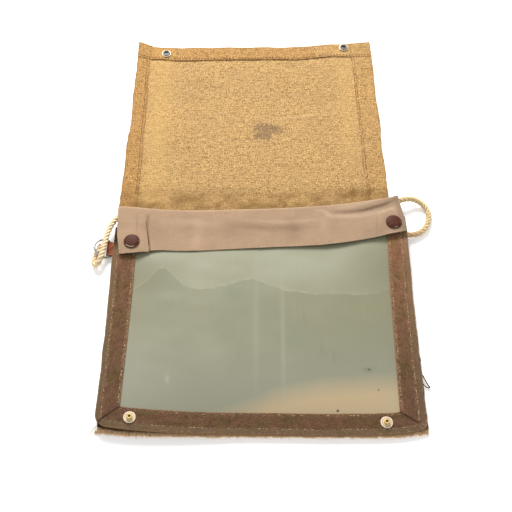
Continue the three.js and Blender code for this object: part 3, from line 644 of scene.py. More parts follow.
STREAKS = [
    (-4.5, -140, 2.6, 60, 0.28), (19.5, -150, 1.8, 62, 0.42), (-81.3, -184.6, 1.8, 4.5, 0.75),
    (-43.1, -159.3, 15, 11, 0.25), (110.8, -203.1, 1.6, 9.0, 0.6)]


def patches(x, y, places):
    """Soft patches. Each has its place, its half width, its half length and its strength."""
    total = 0
    for a, b, wide, long, size in places:
        total = total + size * np.exp(-((x - a) / wide) ** 2 - ((y - b) / long) ** 2)
    return np.clip(total, 0, 1)


# Its rim mark lays painted shade along the edges of the window.
window = sheet_piece(
    "window_sheet", stack(x, y, z + WINDOW_SHEET), stack(x, y, z), stack(x, y, 0)[..., :2], 0.1,
    marks={"rim": 1 - inside, "low": fade(y, -205, -110), "sky": haze, "sand": clear, "glow": glow,
           "speck": patches(x, y, SPECKS), "streak": patches(x, y, STREAKS)})
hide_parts("window")
print("Window:", len(window.data.polygons), "faces,", len(SPECKS) + len(STREAKS), "specks and streaks")

# %% [markdown]
# ## The flap
# The flap is one piece of canvas with its edges turned over and sewn. A turned hem is twice as
# thick, and the top hem is folded over the side hems, so the corners are thicker still. The
# corners curl up a little, because old sewn edges shrink more than the cloth between them.
# A cloth simulation would curl it too, but in other places than in the photograph, so the height
# of the flap is a sum of plain terms: how it lies, its layers, its seams, its ripples.

# %% Height of the flap
FLAP_WIDTH = 266.0
FLAP_TAPER = 9.0
FLAP_OFFSET = -6.0
FLAP_LENGTH = 228.0
FLAP_TUCK = 10.0
HEM_TOP = 20.0
HEM_LEFT = {"root": 17.5, "tip": 12.6}
HEM_RIGHT = {"root": 20.0, "tip": 21.6}
FLAP_TIP_RISE = 2.8
FLAP_CORNER_CURL = 2.6
FLAP_ROW_IN = 2.2
FLAP_PITCH = 3.4
CREASE_MIDDLE = (22, 120.5)
CREASE_SLOPE = 0.115


def flap_half(y):
    return (FLAP_WIDTH - FLAP_TAPER * np.clip(y / FLAP_LENGTH, 0, 1)) / 2


def flap_under(x, y):
    root = fade(y, 5, 19) * SEAT
    tip = 1 - fade(y, 0.6 * FLAP_LENGTH, 0.9 * FLAP_LENGTH)
    across = np.abs(x - FLAP_OFFSET) / flap_half(y)
    curl = (1 - fade(across, 0.86, 1)) * (1 - fade(y / FLAP_LENGTH, 0.9, 1))
    return root + tip * FLAP_TIP_RISE + curl * FLAP_CORNER_CURL


def flap_hems(x, y):
    """How far a point lies inside each hem's inner edge: left, right and top."""
    along = np.clip(y / FLAP_LENGTH, 0, 1)
    left = FLAP_OFFSET - flap_half(y) + mix(HEM_LEFT["root"], HEM_LEFT["tip"], along)
    right = FLAP_OFFSET + flap_half(y) - mix(HEM_RIGHT["root"], HEM_RIGHT["tip"], along)
    wobble = 0.5 * ripple(y, 0 * y, 40, 71)
    top = y - (FLAP_LENGTH - HEM_TOP) + 0.5 * ripple(x, 0 * x, 45, 72)
    return left - x + wobble, x - right + wobble, top


def old_crease(x, y, width):
    """1 along the crease across the middle of the flap, 0 away from it and at its faint middle."""
    middle = CREASE_MIDDLE[1] + CREASE_SLOPE * (x - CREASE_MIDDLE[0])
    return np.exp(-((y - middle) / width) ** 2) * fade(np.abs(x - 40), 12, 26)


def flap_upper(x, y):
    left, right, top = flap_hems(x, y)
    side_hem = np.maximum(1 - fade(left, -0.35, 0.35), 1 - fade(right, -0.35, 0.35))
    top_hem = 1 - fade(top, -0.35, 0.35)
    pucker = 0.7 + 0.3 * np.cos(2 * np.pi * (x + y) / FLAP_PITCH)
    seam = sum(np.exp(-((inside - FLAP_ROW_IN) / 0.8) ** 2) * pucker for inside in (left, right, top))
    layers = np.maximum(side_hem, top_hem) * FLAP_CANVAS + 0.45 * side_hem * top_hem
    relief = 0.18 * ripple(x, y, 30, 73) + 0.10 * ripple(x, y, 8, 74)
    plain = flap_under(x, y) + FLAP_CANVAS + layers
    return plain - 0.32 * seam + relief + 0.9 * old_crease(x, y, 1.4)


print("Flap stands", round(float(flap_under(FLAP_OFFSET, FLAP_LENGTH)), 1), "mm up at its free end")

# %% [markdown]
# Shrinkage has drawn the free end in unevenly, and each edge wanders. The grid follows both. It
# also carries marks for the material: darkening near the root and in a patch at the left, a
# darker ledge along each hem, two golden bands, an old crease and a faded dark smudge near the
# middle.

# %% Flap cloth
def beside(places, reach=1.2, count=4):
    """Closer steps on both sides of a seam."""
    return [place + step for place in places for step in np.linspace(-reach, reach, count)]


def flap_shift(x, y):
    """How far old shrinkage has drawn the free end in, by its place across."""
    places = [-139, -117, -99, -72, -37, -6, 56, 83, 124]
    moves = [2.0, -3.2, -4.6, -4.8, -3.6, -3.2, -1.8, 1.2, 1.2]
    return smooth_curve(places, moves, x) * (1 - fade(y, 120, 205))


shares = np.linspace(-1, 1, 176)
heights = np.sort(np.concatenate([
    np.linspace(-FLAP_TUCK, FLAP_LENGTH, 160), beside([FLAP_LENGTH - HEM_TOP])]))
across, y = grid(shares, heights)
edge_wander = 0.5 * ripple(y, 0 * y, 60, 75) + 0.25 * ripple(y, 0 * y, 12, 76)
x = FLAP_OFFSET + across * flap_half(y) + edge_wander * np.abs(across) ** 6
dip = 1.1 * (1 - (np.abs(x - FLAP_OFFSET - 10) / 130) ** 2) * (1 - fade(y, 200, FLAP_LENGTH))
y = y - np.clip(dip, 0, 2) + 0.35 * ripple(x, 0 * x, 26, 77) * (1 - fade(y, 205, FLAP_LENGTH))
z = flap_upper(x, y)
under = flap_under(x, y) + 0.04
left, right, top = flap_hems(x, y)
hem = np.maximum(np.maximum(1 - fade(left, -1, 1), 1 - fade(right, -1, 1)), 1 - fade(top, -1, 1))
outline = np.minimum(flap_half(y) - np.abs(x - FLAP_OFFSET), FLAP_LENGTH - y)
ledge = np.minimum(np.minimum(np.abs(left), np.abs(right)), np.abs(top))
shade = 0.9 * fade(y, 12, 42) + 0.5 * np.exp(-((x - 100) / 22) ** 2) * fade(y, 20, 44)
shade = shade + 0.35 * np.exp(-((x + 85) / 20) ** 2 - ((y - 78) / 22) ** 2)
smudge = np.exp(-((x - 8) / 17) ** 4 - ((y - 109 + 0.15 * x) / 7) ** 4)
smudge = np.maximum(smudge, np.exp(-((x - 3) / 11) ** 4 - ((y - 98) / 7) ** 4))
gold = np.exp(-((x + 108) / 13) ** 2) + 0.7 * np.exp(-((x - 92) / 11) ** 2) * (1 - fade(y, 40, 90))
moved = y + flap_shift(x, y)
flap = sheet_piece(
    "flap_cloth", stack(x, moved, z), stack(x, moved, under), stack(x, y, 0)[..., :2], 0.5,
    marks={"hem": hem * (1 - 0.6 * (x > 60)), "wear": fade(outline, 0, 3.5),
           "ledge": fade(ledge, 0.2, 1.5), "root": np.clip(shade, 0, 1), "smudge": smudge,
           "crease": old_crease(x, y, 1.6), "gold": gold})
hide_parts("flap")
print("Flap:", len(flap.data.polygons), "faces")

# %% [markdown]
# ## The weather strip
# The strip is a folded band of soft cotton. One leg is sewn to the flap's root, the fold holds
# the cord, and the other leg hangs over the window's mouth and snaps down at both ends. The
# rows below are sections across it, as shares of its width and depth, with heights as shares
# of the cord's diameter. They repeat the CAD model's rows.

# %% Sections of the strip
STRIP_WIDTH = 274.0
STRIP_OFFSET = 1.2
STRIP_TUCK = 9.0
SECTIONS = np.array([
    # across, fold, ridge, drop, crest, hang
    [0.0, -0.01, 0.36, 1.13, 1.92, 1.7], [0.03, -0.015, 0.34, 1.125, 1.9, 1.72],
    [0.055, -0.03, 0.3, 1.11, 1.93, 1.74], [0.1, -0.055, 0.26, 1.06, 1.9, 1.6],
    [0.14, -0.07, 0.23, 1.035, 1.84, 1.5], [0.21, -0.085, 0.2, 1.04, 1.72, 1.34],
    [0.29, -0.085, 0.18, 1.03, 1.7, 1.3], [0.39, -0.07, 0.18, 1.0, 1.69, 1.33],
    [0.5, -0.05, 0.18, 0.97, 1.69, 1.42], [0.61, -0.02, 0.18, 0.95, 1.7, 1.56],
    [0.71, 0.02, 0.2, 0.925, 1.74, 1.72], [0.8, 0.075, 0.2, 0.87, 1.82, 1.94],
    [0.87, 0.125, 0.2, 0.81, 1.92, 2.15], [0.915, 0.165, 0.2, 0.76, 2.0, 2.32],
    [0.94, 0.19, 0.2, 0.725, 2.06, 2.42], [0.97, 0.22, 0.2, 0.69, 2.12, 2.4],
    [1.0, 0.25, 0.2, 0.65, 2.16, 2.34]])
STRIP_SNAPS = {"left": (-121.94, -43.76), "right": (126.98, -23.28)}
STUD_FLANGE = 0.7
SOCKET_HEIGHT = 1.9
SOCKET_TO_CLOTH = STUD_FLANGE + 2 * CLEARANCE + SOCKET_HEIGHT + CLEARANCE


def section_value(column, across):
    return smooth_curve(SECTIONS[:, 0], SECTIONS[:, column], across)


def near_snap(x, y, height):
    """Level the strip round each of its press studs."""
    for place_x, place_y in STRIP_SNAPS.values():
        top = panel_under(np.array(place_x), np.array(place_y)) + BINDING_THICKNESS
        level = top + SOCKET_TO_CLOTH + STRIP_COTTON / 2
        share = fade(np.hypot(x - place_x, y - place_y), 9.2, 19.5)
        height = mix(height, level, share)
    return height


def strip_line(across, count=110):
    """The strip's middle line at one place, from the sewn leg round the fold to the edge."""
    x = STRIP_OFFSET + STRIP_WIDTH * (across - 0.5)
    fold = section_value(1, across) * STRIP_DEPTH - STRIP_COTTON / 2
    inner_left = FLAP_OFFSET - flap_half(0.0) + HEM_LEFT["root"]
    inner_right = FLAP_OFFSET + flap_half(0.0) - HEM_RIGHT["root"]
    near_hem = min(x - inner_left, inner_right - x)
    thickness = mix(FLAP_CANVAS, 2 * FLAP_CANVAS, fade(near_hem, 0, 24))
    leg = SEAT + thickness + CLEARANCE + STRIP_COTTON / 2
    crest = SEAT + section_value(4, across) * CORD_DIAMETER
    radius = (crest - leg) / 2
    centre = fold - radius
    line = [[-STRIP_TUCK, leg], [mix(-STRIP_TUCK, centre, 0.5), leg]]
    for turn in np.radians(np.linspace(-90, 90, 9)):
        line.append([centre + radius * np.cos(turn), leg + radius + radius * np.sin(turn)])
    ridge = fold - section_value(2, across) * STRIP_DEPTH
    edge = -section_value(3, across) * STRIP_DEPTH
    hang = SEAT + section_value(5, across) * CORD_DIAMETER
    line.append([mix(centre, ridge, 0.6), crest])
    for share in [0.06, 0.14, 0.22, 0.3, 0.38, 0.46, 0.54, 0.62, 0.7, 0.78, 0.86, 0.93, 1]:
        y = mix(ridge, edge, share)
        drape = mix(crest, hang, 1 - fade(share, 0, 0.7))
        line.append([y, near_snap(x, y, drape)])
    line = np.array([[0, p[0], p[1]] for p in line])
    fine, run = spline(line, 0.4)
    at = np.linspace(0, run[-1], count)
    return np.interp(at, run, fine[:, 1]), np.interp(at, run, fine[:, 2]), at


shares = np.linspace(0, 1, 5)
print("Strip: sections", [round(float(strip_line(share)[2][-1]), 1) for share in shares], "mm long")

# %% [markdown]
# The grid of the strip is finer where it has sharp folds. At each point it keeps the direction
# square to the cloth, so a fold can push the cloth out or in. The cloth is free to fold only away
# from its press studs and from the leg that is sewn down.

# %% Middle surface of the strip
PLEAT = np.array([[-105.2, -56.0], [-105.5, -50.0], [-108.7, -30.4], [-110.5, -18.7], [-113.2, -6.7]])
close = (np.array(beside([-107.5, -110.5, -119.0, 110.7], 1.6, 9)) - STRIP_OFFSET) / STRIP_WIDTH + 0.5
shares = np.unique(np.concatenate([np.linspace(0, 1, 230), close]))
lines = [strip_line(float(share)) for share in shares]
y = np.array([line[0] for line in lines])
z = np.array([line[1] for line in lines])
along = np.array([line[2] for line in lines])
x = np.broadcast_to((STRIP_OFFSET + STRIP_WIDTH * (shares - 0.5))[:, None], y.shape).copy()
from_edge = along[:, -1:] - along
slope_y, slope_z = np.gradient(y, axis=1), np.gradient(z, axis=1)
run = np.hypot(slope_y, slope_z)
normal_y, normal_z = -slope_z / run, slope_y / run
free = 1 - sum(fade(np.hypot(x - p[0], y - p[1]), 8.5, 17) for p in STRIP_SNAPS.values())
free = np.clip(free, 0, 1) * (1 - fade(along, 16, 22))
print("Strip: a grid of", len(shares), "by", y.shape[1], "places")

# %% [markdown]
# The folds of the strip are soft wrinkles that run out from where it is held: from the press
# studs, from the cord in its fold and from a pleat beside the left stud. Each is one line of
# places with a width and a height. The same folds give painted shade in the dents and painted
# light on the ridges in the material, and the pleat and one crease get painted shade too. That
# is more typing than a simulation, but each fold lies where the photograph has it.

# %% Folds of the strip
def soft_fold(line, width, strength, upright=False):
    """A fold along a line of places, strongest at its middle. upright lines run down the strip."""
    line = np.array(line, float)
    run, away = (y, x) if upright else (x, y)
    line = line[:, ::-1] if upright else line
    line = line[np.argsort(line[:, 0])]
    t = np.clip((run - line[0, 0]) / (line[-1, 0] - line[0, 0]), 0, 1)
    away = away - np.interp(run, line[:, 0], line[:, 1])
    return strength * np.exp(-(away / width) ** 2) * np.sin(np.pi * t) ** 0.6


FOLDS = [
    ([(66, -9.3), (86.5, -8.8), (98.2, -6.6), (116.2, -0.8), (140, 9)], 3.0, -1.5),
    ([(60, -12.5), (78, -13.2), (96, -13.4), (120.5, -8.5), (138, -1)], 2.6, 1.3),
    ([(70, -4), (84, -2.5), (98, 0.8), (118, 6)], 3.0, 0.8),
    ([(44, -1), (51, -3.2), (59.5, -6.3), (70, -13.5)], 2.2, 0.8),
    ([(-16, -17.5), (1.3, -19.2), (23.4, -20.1), (47.5, -18.2), (62, -17)], 2.2, 0.6),
    ([(-40, -24), (-10, -25), (30, -27), (60, -25)], 4.0, -0.6),
    ([(-116, -5.8), (-88, -3.5), (-59, -2.5)], 2.6, 0.6),
    ([(-102, -12), (-80, -11), (-58, -12)], 3.0, -0.7),
    ([(-98, -22), (-70, -20), (-30, -23)], 4.0, 0.5),
]
UPRIGHT = [
    ([(-119.8, 4), (-119.2, -17), (-117.9, -31.1), (-116.5, -52)], 0.9, -0.45),
    ([(111.9, -6), (110.7, -25), (109.6, -42)], 0.8, -0.4),
    ([(-62, -8), (-60, -30), (-63, -50)], 5.0, 0.45),
    ([(28, -10), (33, -30), (30, -46)], 6.0, -0.4),
]
folds = sum(soft_fold(*fold) for fold in FOLDS) + sum(soft_fold(*fold, True) for fold in UPRIGHT)
waves = 0.4 * ripple(x, 1.6 * y, 42, 81) + 0.16 * ripple(x, y, 13, 82)
pleat_x = np.interp(y, PLEAT[:, 1], PLEAT[:, 0])
open_pleat = (1 - fade(-y, 14, 40)) * (along > 20)
before = np.clip(pleat_x - x, 0, None)
after = np.clip(x - pleat_x, 0, None)
pleat = np.where(x < pleat_x, 1.3 * np.exp(-(before / 5.0) ** 2), -1.0 * np.exp(-(after / 1.7) ** 2))
offset = (folds + waves) * free + pleat * open_pleat
offset = offset - 0.12 * np.exp(-((from_edge - 9.0) / 0.9) ** 2)
# Painted shade in the dents, beside the pleat and along one crease; painted light on the fold ridges.
fold_shade_and_light = np.clip(-folds * free, -0.8, 1.6) * 0.5
fold_shade_and_light = fold_shade_and_light + 1.6 * np.where(x < pleat_x, 0, np.exp(-((after - 0.3) / 0.9) ** 2)) * open_pleat
fold_shade_and_light = fold_shade_and_light + 0.5 * np.exp(-((x + 108.6) / 2.0) ** 2) * fade(-y, 22, 30) * (1 - fade(-y, 4, 10)) * free
y = y - 1.3 * np.exp(-before / 14) * (x < pleat_x) * fade(from_edge, 2, 14) * (x > -125)
print("Strip:", len(FOLDS), "long folds,", len(UPRIGHT), "upright ones and one pleat")

# %% [markdown]
# The two cut ends wear and curl. Where the right end has rubbed against the cord, its cotton is
# greyer, so the mark for that end reaches a little way in.

# %% Strip cloth
LEFT_END, RIGHT_END = [-56.7, -34.6, -2.7], [-30.3, -12.5, 6.8]
near_left, near_right = fade(x - x[0, 0], 1, 11), fade(x[-1, 0] - x, 1, 11)
x = x + near_left * np.interp(y, LEFT_END, [3.0, -0.6, -2.2])
x = x + near_right * np.interp(y, RIGHT_END, [-0.3, -0.9, -4.0])
half = STRIP_COTTON / 2
outer = stack(x, y + (half + offset) * normal_y, z + (half + offset) * normal_z)
inner = stack(x, y - half * normal_y, z - half * normal_z)
outer[..., 2] += 0.2 * fade(from_edge, 0, 2.5)
end_edge = np.minimum(x - x[:1], x[-1:] - x)
worn = np.maximum(fade(from_edge, 0, 1.2), fade(end_edge, 0, 1.2))
to_end = x[-1:] - x
grey_end = fade(to_end, 2.0, 9.0) + 0.3 * fade(to_end, 20, 70) * (1 - fade(to_end, 6, 12))
strip = sheet_piece(
    "strip_cloth", outer, inner, np.stack([x, along], -1), 0.3,
    marks={"wear": worn, "end": grey_end, "fold_shade_and_light": fold_shade_and_light})
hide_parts("weather_strip")
section = round(float(along[:, -1].mean()), 1)
print("Strip:", len(strip.data.polygons), "faces; section", section, "mm long")

# %% [markdown]
# ## Press studs
# Each press stud is turned from sheet brass. The strip has domed caps with a rolled rim, the
# sockets grip a bead on the stud, and the two bare studs at the bottom show their flange, neck
# and bead. Every piece keeps the place and the tilt of its CAD node. A screw modifier would turn
# them as well, but rings of points also keep the radius as a mark for the material.

# %% Press studs
def node_points(name):
    points = np.empty(len(nodes[name].data.vertices) * 3)
    nodes[name].data.vertices.foreach_get("co", points)
    return points.reshape(-1, 3) / MM


# The side of each cap's rim that gets chipped enamel and a painted highlight, and how much.
RIM_WEAR_AND_GLINT = {"left": ([-0.32, -0.95, 0], 1.0), "right": ([-0.1, -1.0, 0], 0.72)}


def turned_piece(name, node, profile, base, up=1, sides=48):
    """A profile of radius and height spun round the axis of a CAD node."""
    points = node_points(node)
    centre = (points.min(0) + points.max(0)) / 2
    axis = np.linalg.svd(points - points.mean(0), full_matrices=False)[2][2]
    axis = axis * np.sign(axis[2]) * up
    profile = np.asarray(profile, float)
    fine, run = spline(np.column_stack([profile, 0 * profile[:, :1]]), 0.18)
    start = centre - axis * (np.ptp(points @ axis) / 2) + axis * base
    path = start + axis * fine[:, 1:2]
    side = np.cross(axis, [0, 1, 0])
    side /= np.linalg.norm(side)
    turn = 2 * np.pi * np.arange(sides) / sides
    ring = side * np.cos(turn)[:, None] + np.cross(axis, side) * np.sin(turn)[:, None]
    rings = path[:, None] + np.maximum(fine[:, :1], 0.01)[:, :, None] * ring[None]
    piece = rod_piece(name, rings, run, np.linspace(0, 12, sides + 1), sharp=42)
    paint(piece, "radius", np.repeat(fine[:, 0], sides))
    paint(piece, "height", np.repeat(fine[:, 1], sides))
    toward, strength = RIM_WEAR_AND_GLINT["left" if "left" in name else "right"]
    paint(piece, "glint_and_wear_side", np.tile(strength * np.clip(ring @ toward, 0, 1) ** 2, len(fine)))
    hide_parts(node)
    return piece


metal = [name for name in nodes if any(kind in name for kind in ("stud", "socket", "cap"))]
print("The press studs have", len(metal), "parts in the CAD model")

# %% [markdown]
# Each row below is a profile: radius and height in millimetres, from the middle of the lower side
# round the rim to the middle of the top. The flap's own caps point down, so they are turned over.

# %% Profiles of the press studs
CAP = [[0.01, 0.0], [5.8, 0.0], [7.2, 0.1], [7.5, 0.55], [7.42, 0.95], [7.0, 1.2], [6.7, 1.22],
       [6.2, 1.5], [5.0, 1.95], [3.0, 2.2], [1.2, 2.29], [0.01, 2.3]]
SOCKET = [[0.01, 0.0], [4.6, 0.0], [5.05, 0.1], [5.15, 0.4], [4.95, 0.68], [4.4, 0.75], [4.15, 0.9],
          [3.9, 1.4], [3.7, 1.75], [3.3, 1.9], [2.9, 1.8], [2.7, 1.5], [2.6, 0.5], [0.01, 0.45]]
STUD = [[0.01, 0.0], [4.9, 0.0], [5.25, 0.12], [5.3, 0.35], [5.1, 0.6], [4.6, 0.72], [3.4, 0.62],
        [2.7, 0.7], [2.35, 1.0], [2.3, 1.4], [2.6, 2.0], [2.62, 2.6], [2.4, 3.1], [1.9, 3.3],
        [1.2, 3.2], [0.7, 2.7], [0.01, 2.5]]
FLAP_CAP = [[0.01, 0.0], [4.6, 0.0], [5.6, 0.1], [5.8, 0.5], [5.6, 0.9], [4.8, 1.6], [2.6, 2.1],
            [0.01, 2.2]]
studs = {}
for side in ("left", "right"):
    studs[f"cap_{side}"] = turned_piece(f"cap_{side}", f"strip_cap_{side}", CAP, 1.35)
    studs[f"closing_{side}"] = turned_piece(
        f"bare_stud_{side}", f"closing_stud_{side}", STUD, 1.1)
    studs[f"flap_socket_{side}"] = turned_piece(
        f"open_socket_{side}", f"flap_socket_{side}", SOCKET, 0.0)
    studs[f"flap_cap_{side}"] = turned_piece(
        f"under_cap_{side}", f"flap_cap_{side}", FLAP_CAP, 2.7, up=-1)
print("Press studs:", sorted(studs))

# %% [markdown]
# ## Ring and tab
# The ring is bent from steel wire with its straight side in the leather tab. It is a closed rod:
# the route is laid three times round, and only the middle round is kept, so its ends meet
# without a corner. A bevelled curve looks the same, but a mesh keeps the map in millimetres.

# %% Ring
RING_WIRE = 2.2
RING_BAR = 21.5
RING_DEPTH = 15.5
RING_FAR_RISE = 5.4
TAB_CENTRE = -46.5
TAB_WIDTH = 15.0
BAR_X = -HALF_BODY - 4.2
BAR_Z = BACK_CANVAS + CLEARANCE + LEATHER_PLY + CLEARANCE / 2
half = (RING_BAR - RING_WIRE) / 2
ring_line = [[BAR_X, TAB_CENTRE + share * half, BAR_Z] for share in (-0.85, -0.45, 0, 0.45, 0.85)]
for turn in np.radians(np.linspace(18, 162, 10)):
    out = math.sin(turn)
    ring_line.append([
        BAR_X - (RING_DEPTH - RING_WIRE) * out, TAB_CENTRE + half * 1.12 * math.cos(turn),
        BAR_Z + RING_FAR_RISE * out])
path, run = spline(ring_line * 3 + ring_line[:1], 0.6)
loop = len(path) // 3
path = path[loop:2 * loop]
angles = np.tile(2 * np.pi * np.arange(18) / 18, (len(path), 1))
wire = rings_round(path, np.full_like(angles, RING_WIRE / 2), angles, closed=True)
ring = rod_piece("steel_ring", wire, run[:len(path)], np.linspace(0, 7, 19), closed=True)
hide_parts("d_ring")
print("Ring:", len(ring.data.polygons), "faces, wire", RING_WIRE, "mm thick")

# %% [markdown]
# The tab is one strip of leather folded round the ring's bar, with both ends in the side seam.
# Two lines across the fold, one for each face of the leather, make its upper and lower side.
# Leather is cut, not woven, so its long edges are only slightly rounded.

# %% Leather tab
bore = RING_WIRE / 2 + CLEARANCE
inside_line, outside_line = [], []
root, throat = -HALF_BODY + 8.0, BAR_X + bore + LEATHER_PLY + 1.2
legs = (root, mix(root, throat, 0.33), mix(root, throat, 0.66), throat)
for place in legs:
    inside_line.append([place, 0.15])
    outside_line.append([place, 0.15 + LEATHER_PLY])
for turn in np.radians(np.linspace(50, 310, 25)):
    inside_line.append([BAR_X + bore * math.cos(turn), bore * math.sin(turn)])
    outside_line.append([
        BAR_X + (bore + LEATHER_PLY) * math.cos(turn), (bore + LEATHER_PLY) * math.sin(turn)])
for place in legs[::-1]:
    inside_line.append([place, -0.15])
    outside_line.append([place, -0.15 - LEATHER_PLY])
share = np.linspace(-0.5, 0.5, 21)
inside_line, outside_line = np.array(inside_line), np.array(outside_line)
tab_y = TAB_CENTRE + share[None] * TAB_WIDTH + 0 * inside_line[:, :1]
tab_run = np.concatenate([[0], np.cumsum(np.linalg.norm(np.diff(outside_line, axis=0), axis=1))])
edge_round = 0.3 * np.abs(2 * share[None]) ** 10
upper = stack(outside_line[:, :1], tab_y, BAR_Z + outside_line[:, 1:] * (1 - edge_round * 0.4))
lower = stack(inside_line[:, :1], tab_y, BAR_Z + inside_line[:, 1:])
tab = sheet_piece(
    "tab_leather", upper, lower, np.stack(np.broadcast_arrays(tab_y, tab_run[:, None]), -1), 0.12,
    marks={"wear": np.broadcast_to(fade(0.5 - np.abs(share[None]), 0, 0.09), tab_y.shape).copy()})
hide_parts("leather_tab")
print("Tab:", len(tab.data.polygons), "faces,", TAB_WIDTH, "mm wide")

# %% [markdown]
# ## Node groups shared by the cloths
# Four small groups do the work for all materials. They only give values that change over the
# surface, so a Blender file or an export keeps them, and each material keeps its own shader.
# These helpers make a node and link it in one line, so a material reads from top to bottom.

# %% Helpers for nodes
def node(tree, kind, inputs=None, **settings):
    """Make a shader node, link or set its inputs, and set its options."""
    made = tree.nodes.new("ShaderNode" + kind)
    for key, value in settings.items():
        setattr(made, key, value)
    for key, value in (inputs or {}).items():
        if isinstance(value, bpy.types.NodeSocket):
            tree.links.new(value, made.inputs[key])
        else:
            made.inputs[key].default_value = value
    return made


def calc(tree, operation, *values, clamp=False):
    """One step of arithmetic."""
    inputs = dict(enumerate(values))
    return node(tree, "Math", inputs, operation=operation, use_clamp=clamp).outputs[0]


def remap(tree, value, low, high, to_low=0.0, to_high=1.0):
    inputs = {"Value": value, "From Min": low, "From Max": high, "To Min": to_low, "To Max": to_high}
    return node(tree, "MapRange", inputs).outputs[0]


def tint(tree, factor, a, b, mode="MIX"):
    """Mix two colours. A colour is three numbers or a socket."""
    a, b = [(*c, 1.0) if isinstance(c, tuple) else c for c in (a, b)]
    made = node(tree, "Mix", {0: factor, 6: a, 7: b}, data_type="RGBA", blend_type=mode)
    return made.outputs[2]


def new_group(name, inputs, outputs):
    tree = bpy.data.node_groups.new(name, "ShaderNodeTree")
    for label, kind in inputs.items():
        tree.interface.new_socket(label, in_out="INPUT", socket_type="NodeSocket" + kind)
    for label, kind in outputs.items():
        tree.interface.new_socket(label, in_out="OUTPUT", socket_type="NodeSocket" + kind)
    return tree, tree.nodes.new("NodeGroupInput").outputs, tree.nodes.new("NodeGroupOutput").inputs


def use(tree, group, inputs):
    made = tree.nodes.new("ShaderNodeGroup")
    made.node_tree = group
    for key, value in inputs.items():
        if isinstance(value, bpy.types.NodeSocket):
            tree.links.new(value, made.inputs[key])
        else:
            made.inputs[key].default_value = value
    return made.outputs


print("Node helpers: node, calc, remap, tint, new_group and use")

# %% [markdown]
# The weave is drawn from two sets of sine-shaped threads that pass over and under each other.
# Warp and weft are the sizes of the threads, and an uneven drift keeps them from running as
# straight as in new cloth. Each thread also gets a tone of its own along its length.

# %% Group: plain weave
weave, given, gives = new_group(
    "plain_weave", {"Place": "Vector", "Warp": "Float", "Weft": "Float", "Uneven": "Float"},
    {"Height": "Float", "Thread": "Float"})
drift = node(weave, "TexNoise", {"Vector": given["Place"], "Scale": 0.22, "Detail": 2.0})
drift = drift.outputs["Color"]
drift = node(weave, "VectorMath", {0: drift, 1: (0.5, 0.5, 0.5)}, operation="SUBTRACT").outputs[0]
drift = node(weave, "VectorMath", {0: drift, "Scale": given["Uneven"]}, operation="SCALE").outputs[0]
spot = node(weave, "VectorMath", {0: given["Place"], 1: drift}, operation="ADD").outputs[0]
spot = node(weave, "SeparateXYZ", {0: spot}).outputs
across = calc(weave, "DIVIDE", spot["X"], given["Warp"])
along = calc(weave, "DIVIDE", spot["Y"], given["Weft"])
warp_id, weft_id = calc(weave, "FLOOR", across), calc(weave, "FLOOR", along)
warp_round = calc(weave, "SINE", calc(weave, "MULTIPLY", calc(weave, "FRACT", across), math.pi))
weft_round = calc(weave, "SINE", calc(weave, "MULTIPLY", calc(weave, "FRACT", along), math.pi))
over = calc(weave, "FLOORED_MODULO", calc(weave, "ADD", warp_id, weft_id), 2.0)
warp_arch = calc(weave, "MULTIPLY_ADD", weft_round, calc(weave, "SUBTRACT", over, 0.45), 0.45)
weft_arch = calc(weave, "MULTIPLY_ADD", warp_round, calc(weave, "SUBTRACT", 0.55, over), 0.45)
warp_height = calc(weave, "MULTIPLY", calc(weave, "SQRT", warp_round), warp_arch)
weft_height = calc(weave, "MULTIPLY", calc(weave, "SQRT", weft_round), weft_arch)
weave.links.new(calc(weave, "MAXIMUM", warp_height, weft_height), gives["Height"])
on_warp = calc(weave, "GREATER_THAN", warp_height, weft_height)


def thread_noise(number, run):
    where = node(weave, "CombineXYZ", {
        "X": calc(weave, "MULTIPLY", number, 3.71), "Y": calc(weave, "MULTIPLY", run, 0.09)})
    noise = node(weave, "TexNoise", {"Vector": where.outputs[0], "Scale": 1.0, "Detail": 1.0})
    return remap(weave, noise.outputs[0], 0.3, 0.7)


warp_tint = thread_noise(warp_id, spot["Y"])
weft_tint = thread_noise(calc(weave, "ADD", weft_id, 0.37), spot["X"])
choice = node(weave, "Mix", {0: on_warp, 2: weft_tint, 3: warp_tint}, data_type="FLOAT")
weave.links.new(choice.outputs[0], gives["Thread"])
print("Plain weave group:", len(weave.nodes), "nodes")

# %% [markdown]
# Old cloth is never one colour. Blotches give soft patches of any size, streaks follow the
# threads, and a broken edge turns a painted edge mark into wear with gaps in it.

# %% Groups: blotches, streaks and broken edges
blotches, given, gives = new_group(
    "blotches", {"Place": "Vector", "Size": "Float", "Contrast": "Float"}, {"Mask": "Float"})
scale = calc(blotches, "DIVIDE", 1.0, given["Size"])
noise = node(blotches, "TexNoise", {"Vector": given["Place"], "Scale": scale, "Detail": 3.0})
centred = calc(blotches, "SUBTRACT", noise.outputs[0], 0.5)
blotches.links.new(
    calc(blotches, "MULTIPLY_ADD", centred, given["Contrast"], 0.5, clamp=True), gives["Mask"])

streaks, given, gives = new_group(
    "thread_streaks", {"Place": "Vector", "Long": "Float", "Wide": "Float", "Contrast": "Float"},
    {"Mask": "Float"})
part = node(streaks, "SeparateXYZ", {0: given["Place"]}).outputs
stretched = node(streaks, "CombineXYZ", {
    "X": calc(streaks, "DIVIDE", part["X"], given["Long"]),
    "Y": calc(streaks, "DIVIDE", part["Y"], given["Wide"])}).outputs[0]
noise = node(streaks, "TexNoise", {"Vector": stretched, "Scale": 1.0, "Detail": 2.0})
centred = calc(streaks, "SUBTRACT", noise.outputs[0], 0.5)
streaks.links.new(
    calc(streaks, "MULTIPLY_ADD", centred, given["Contrast"], 0.5, clamp=True), gives["Mask"])

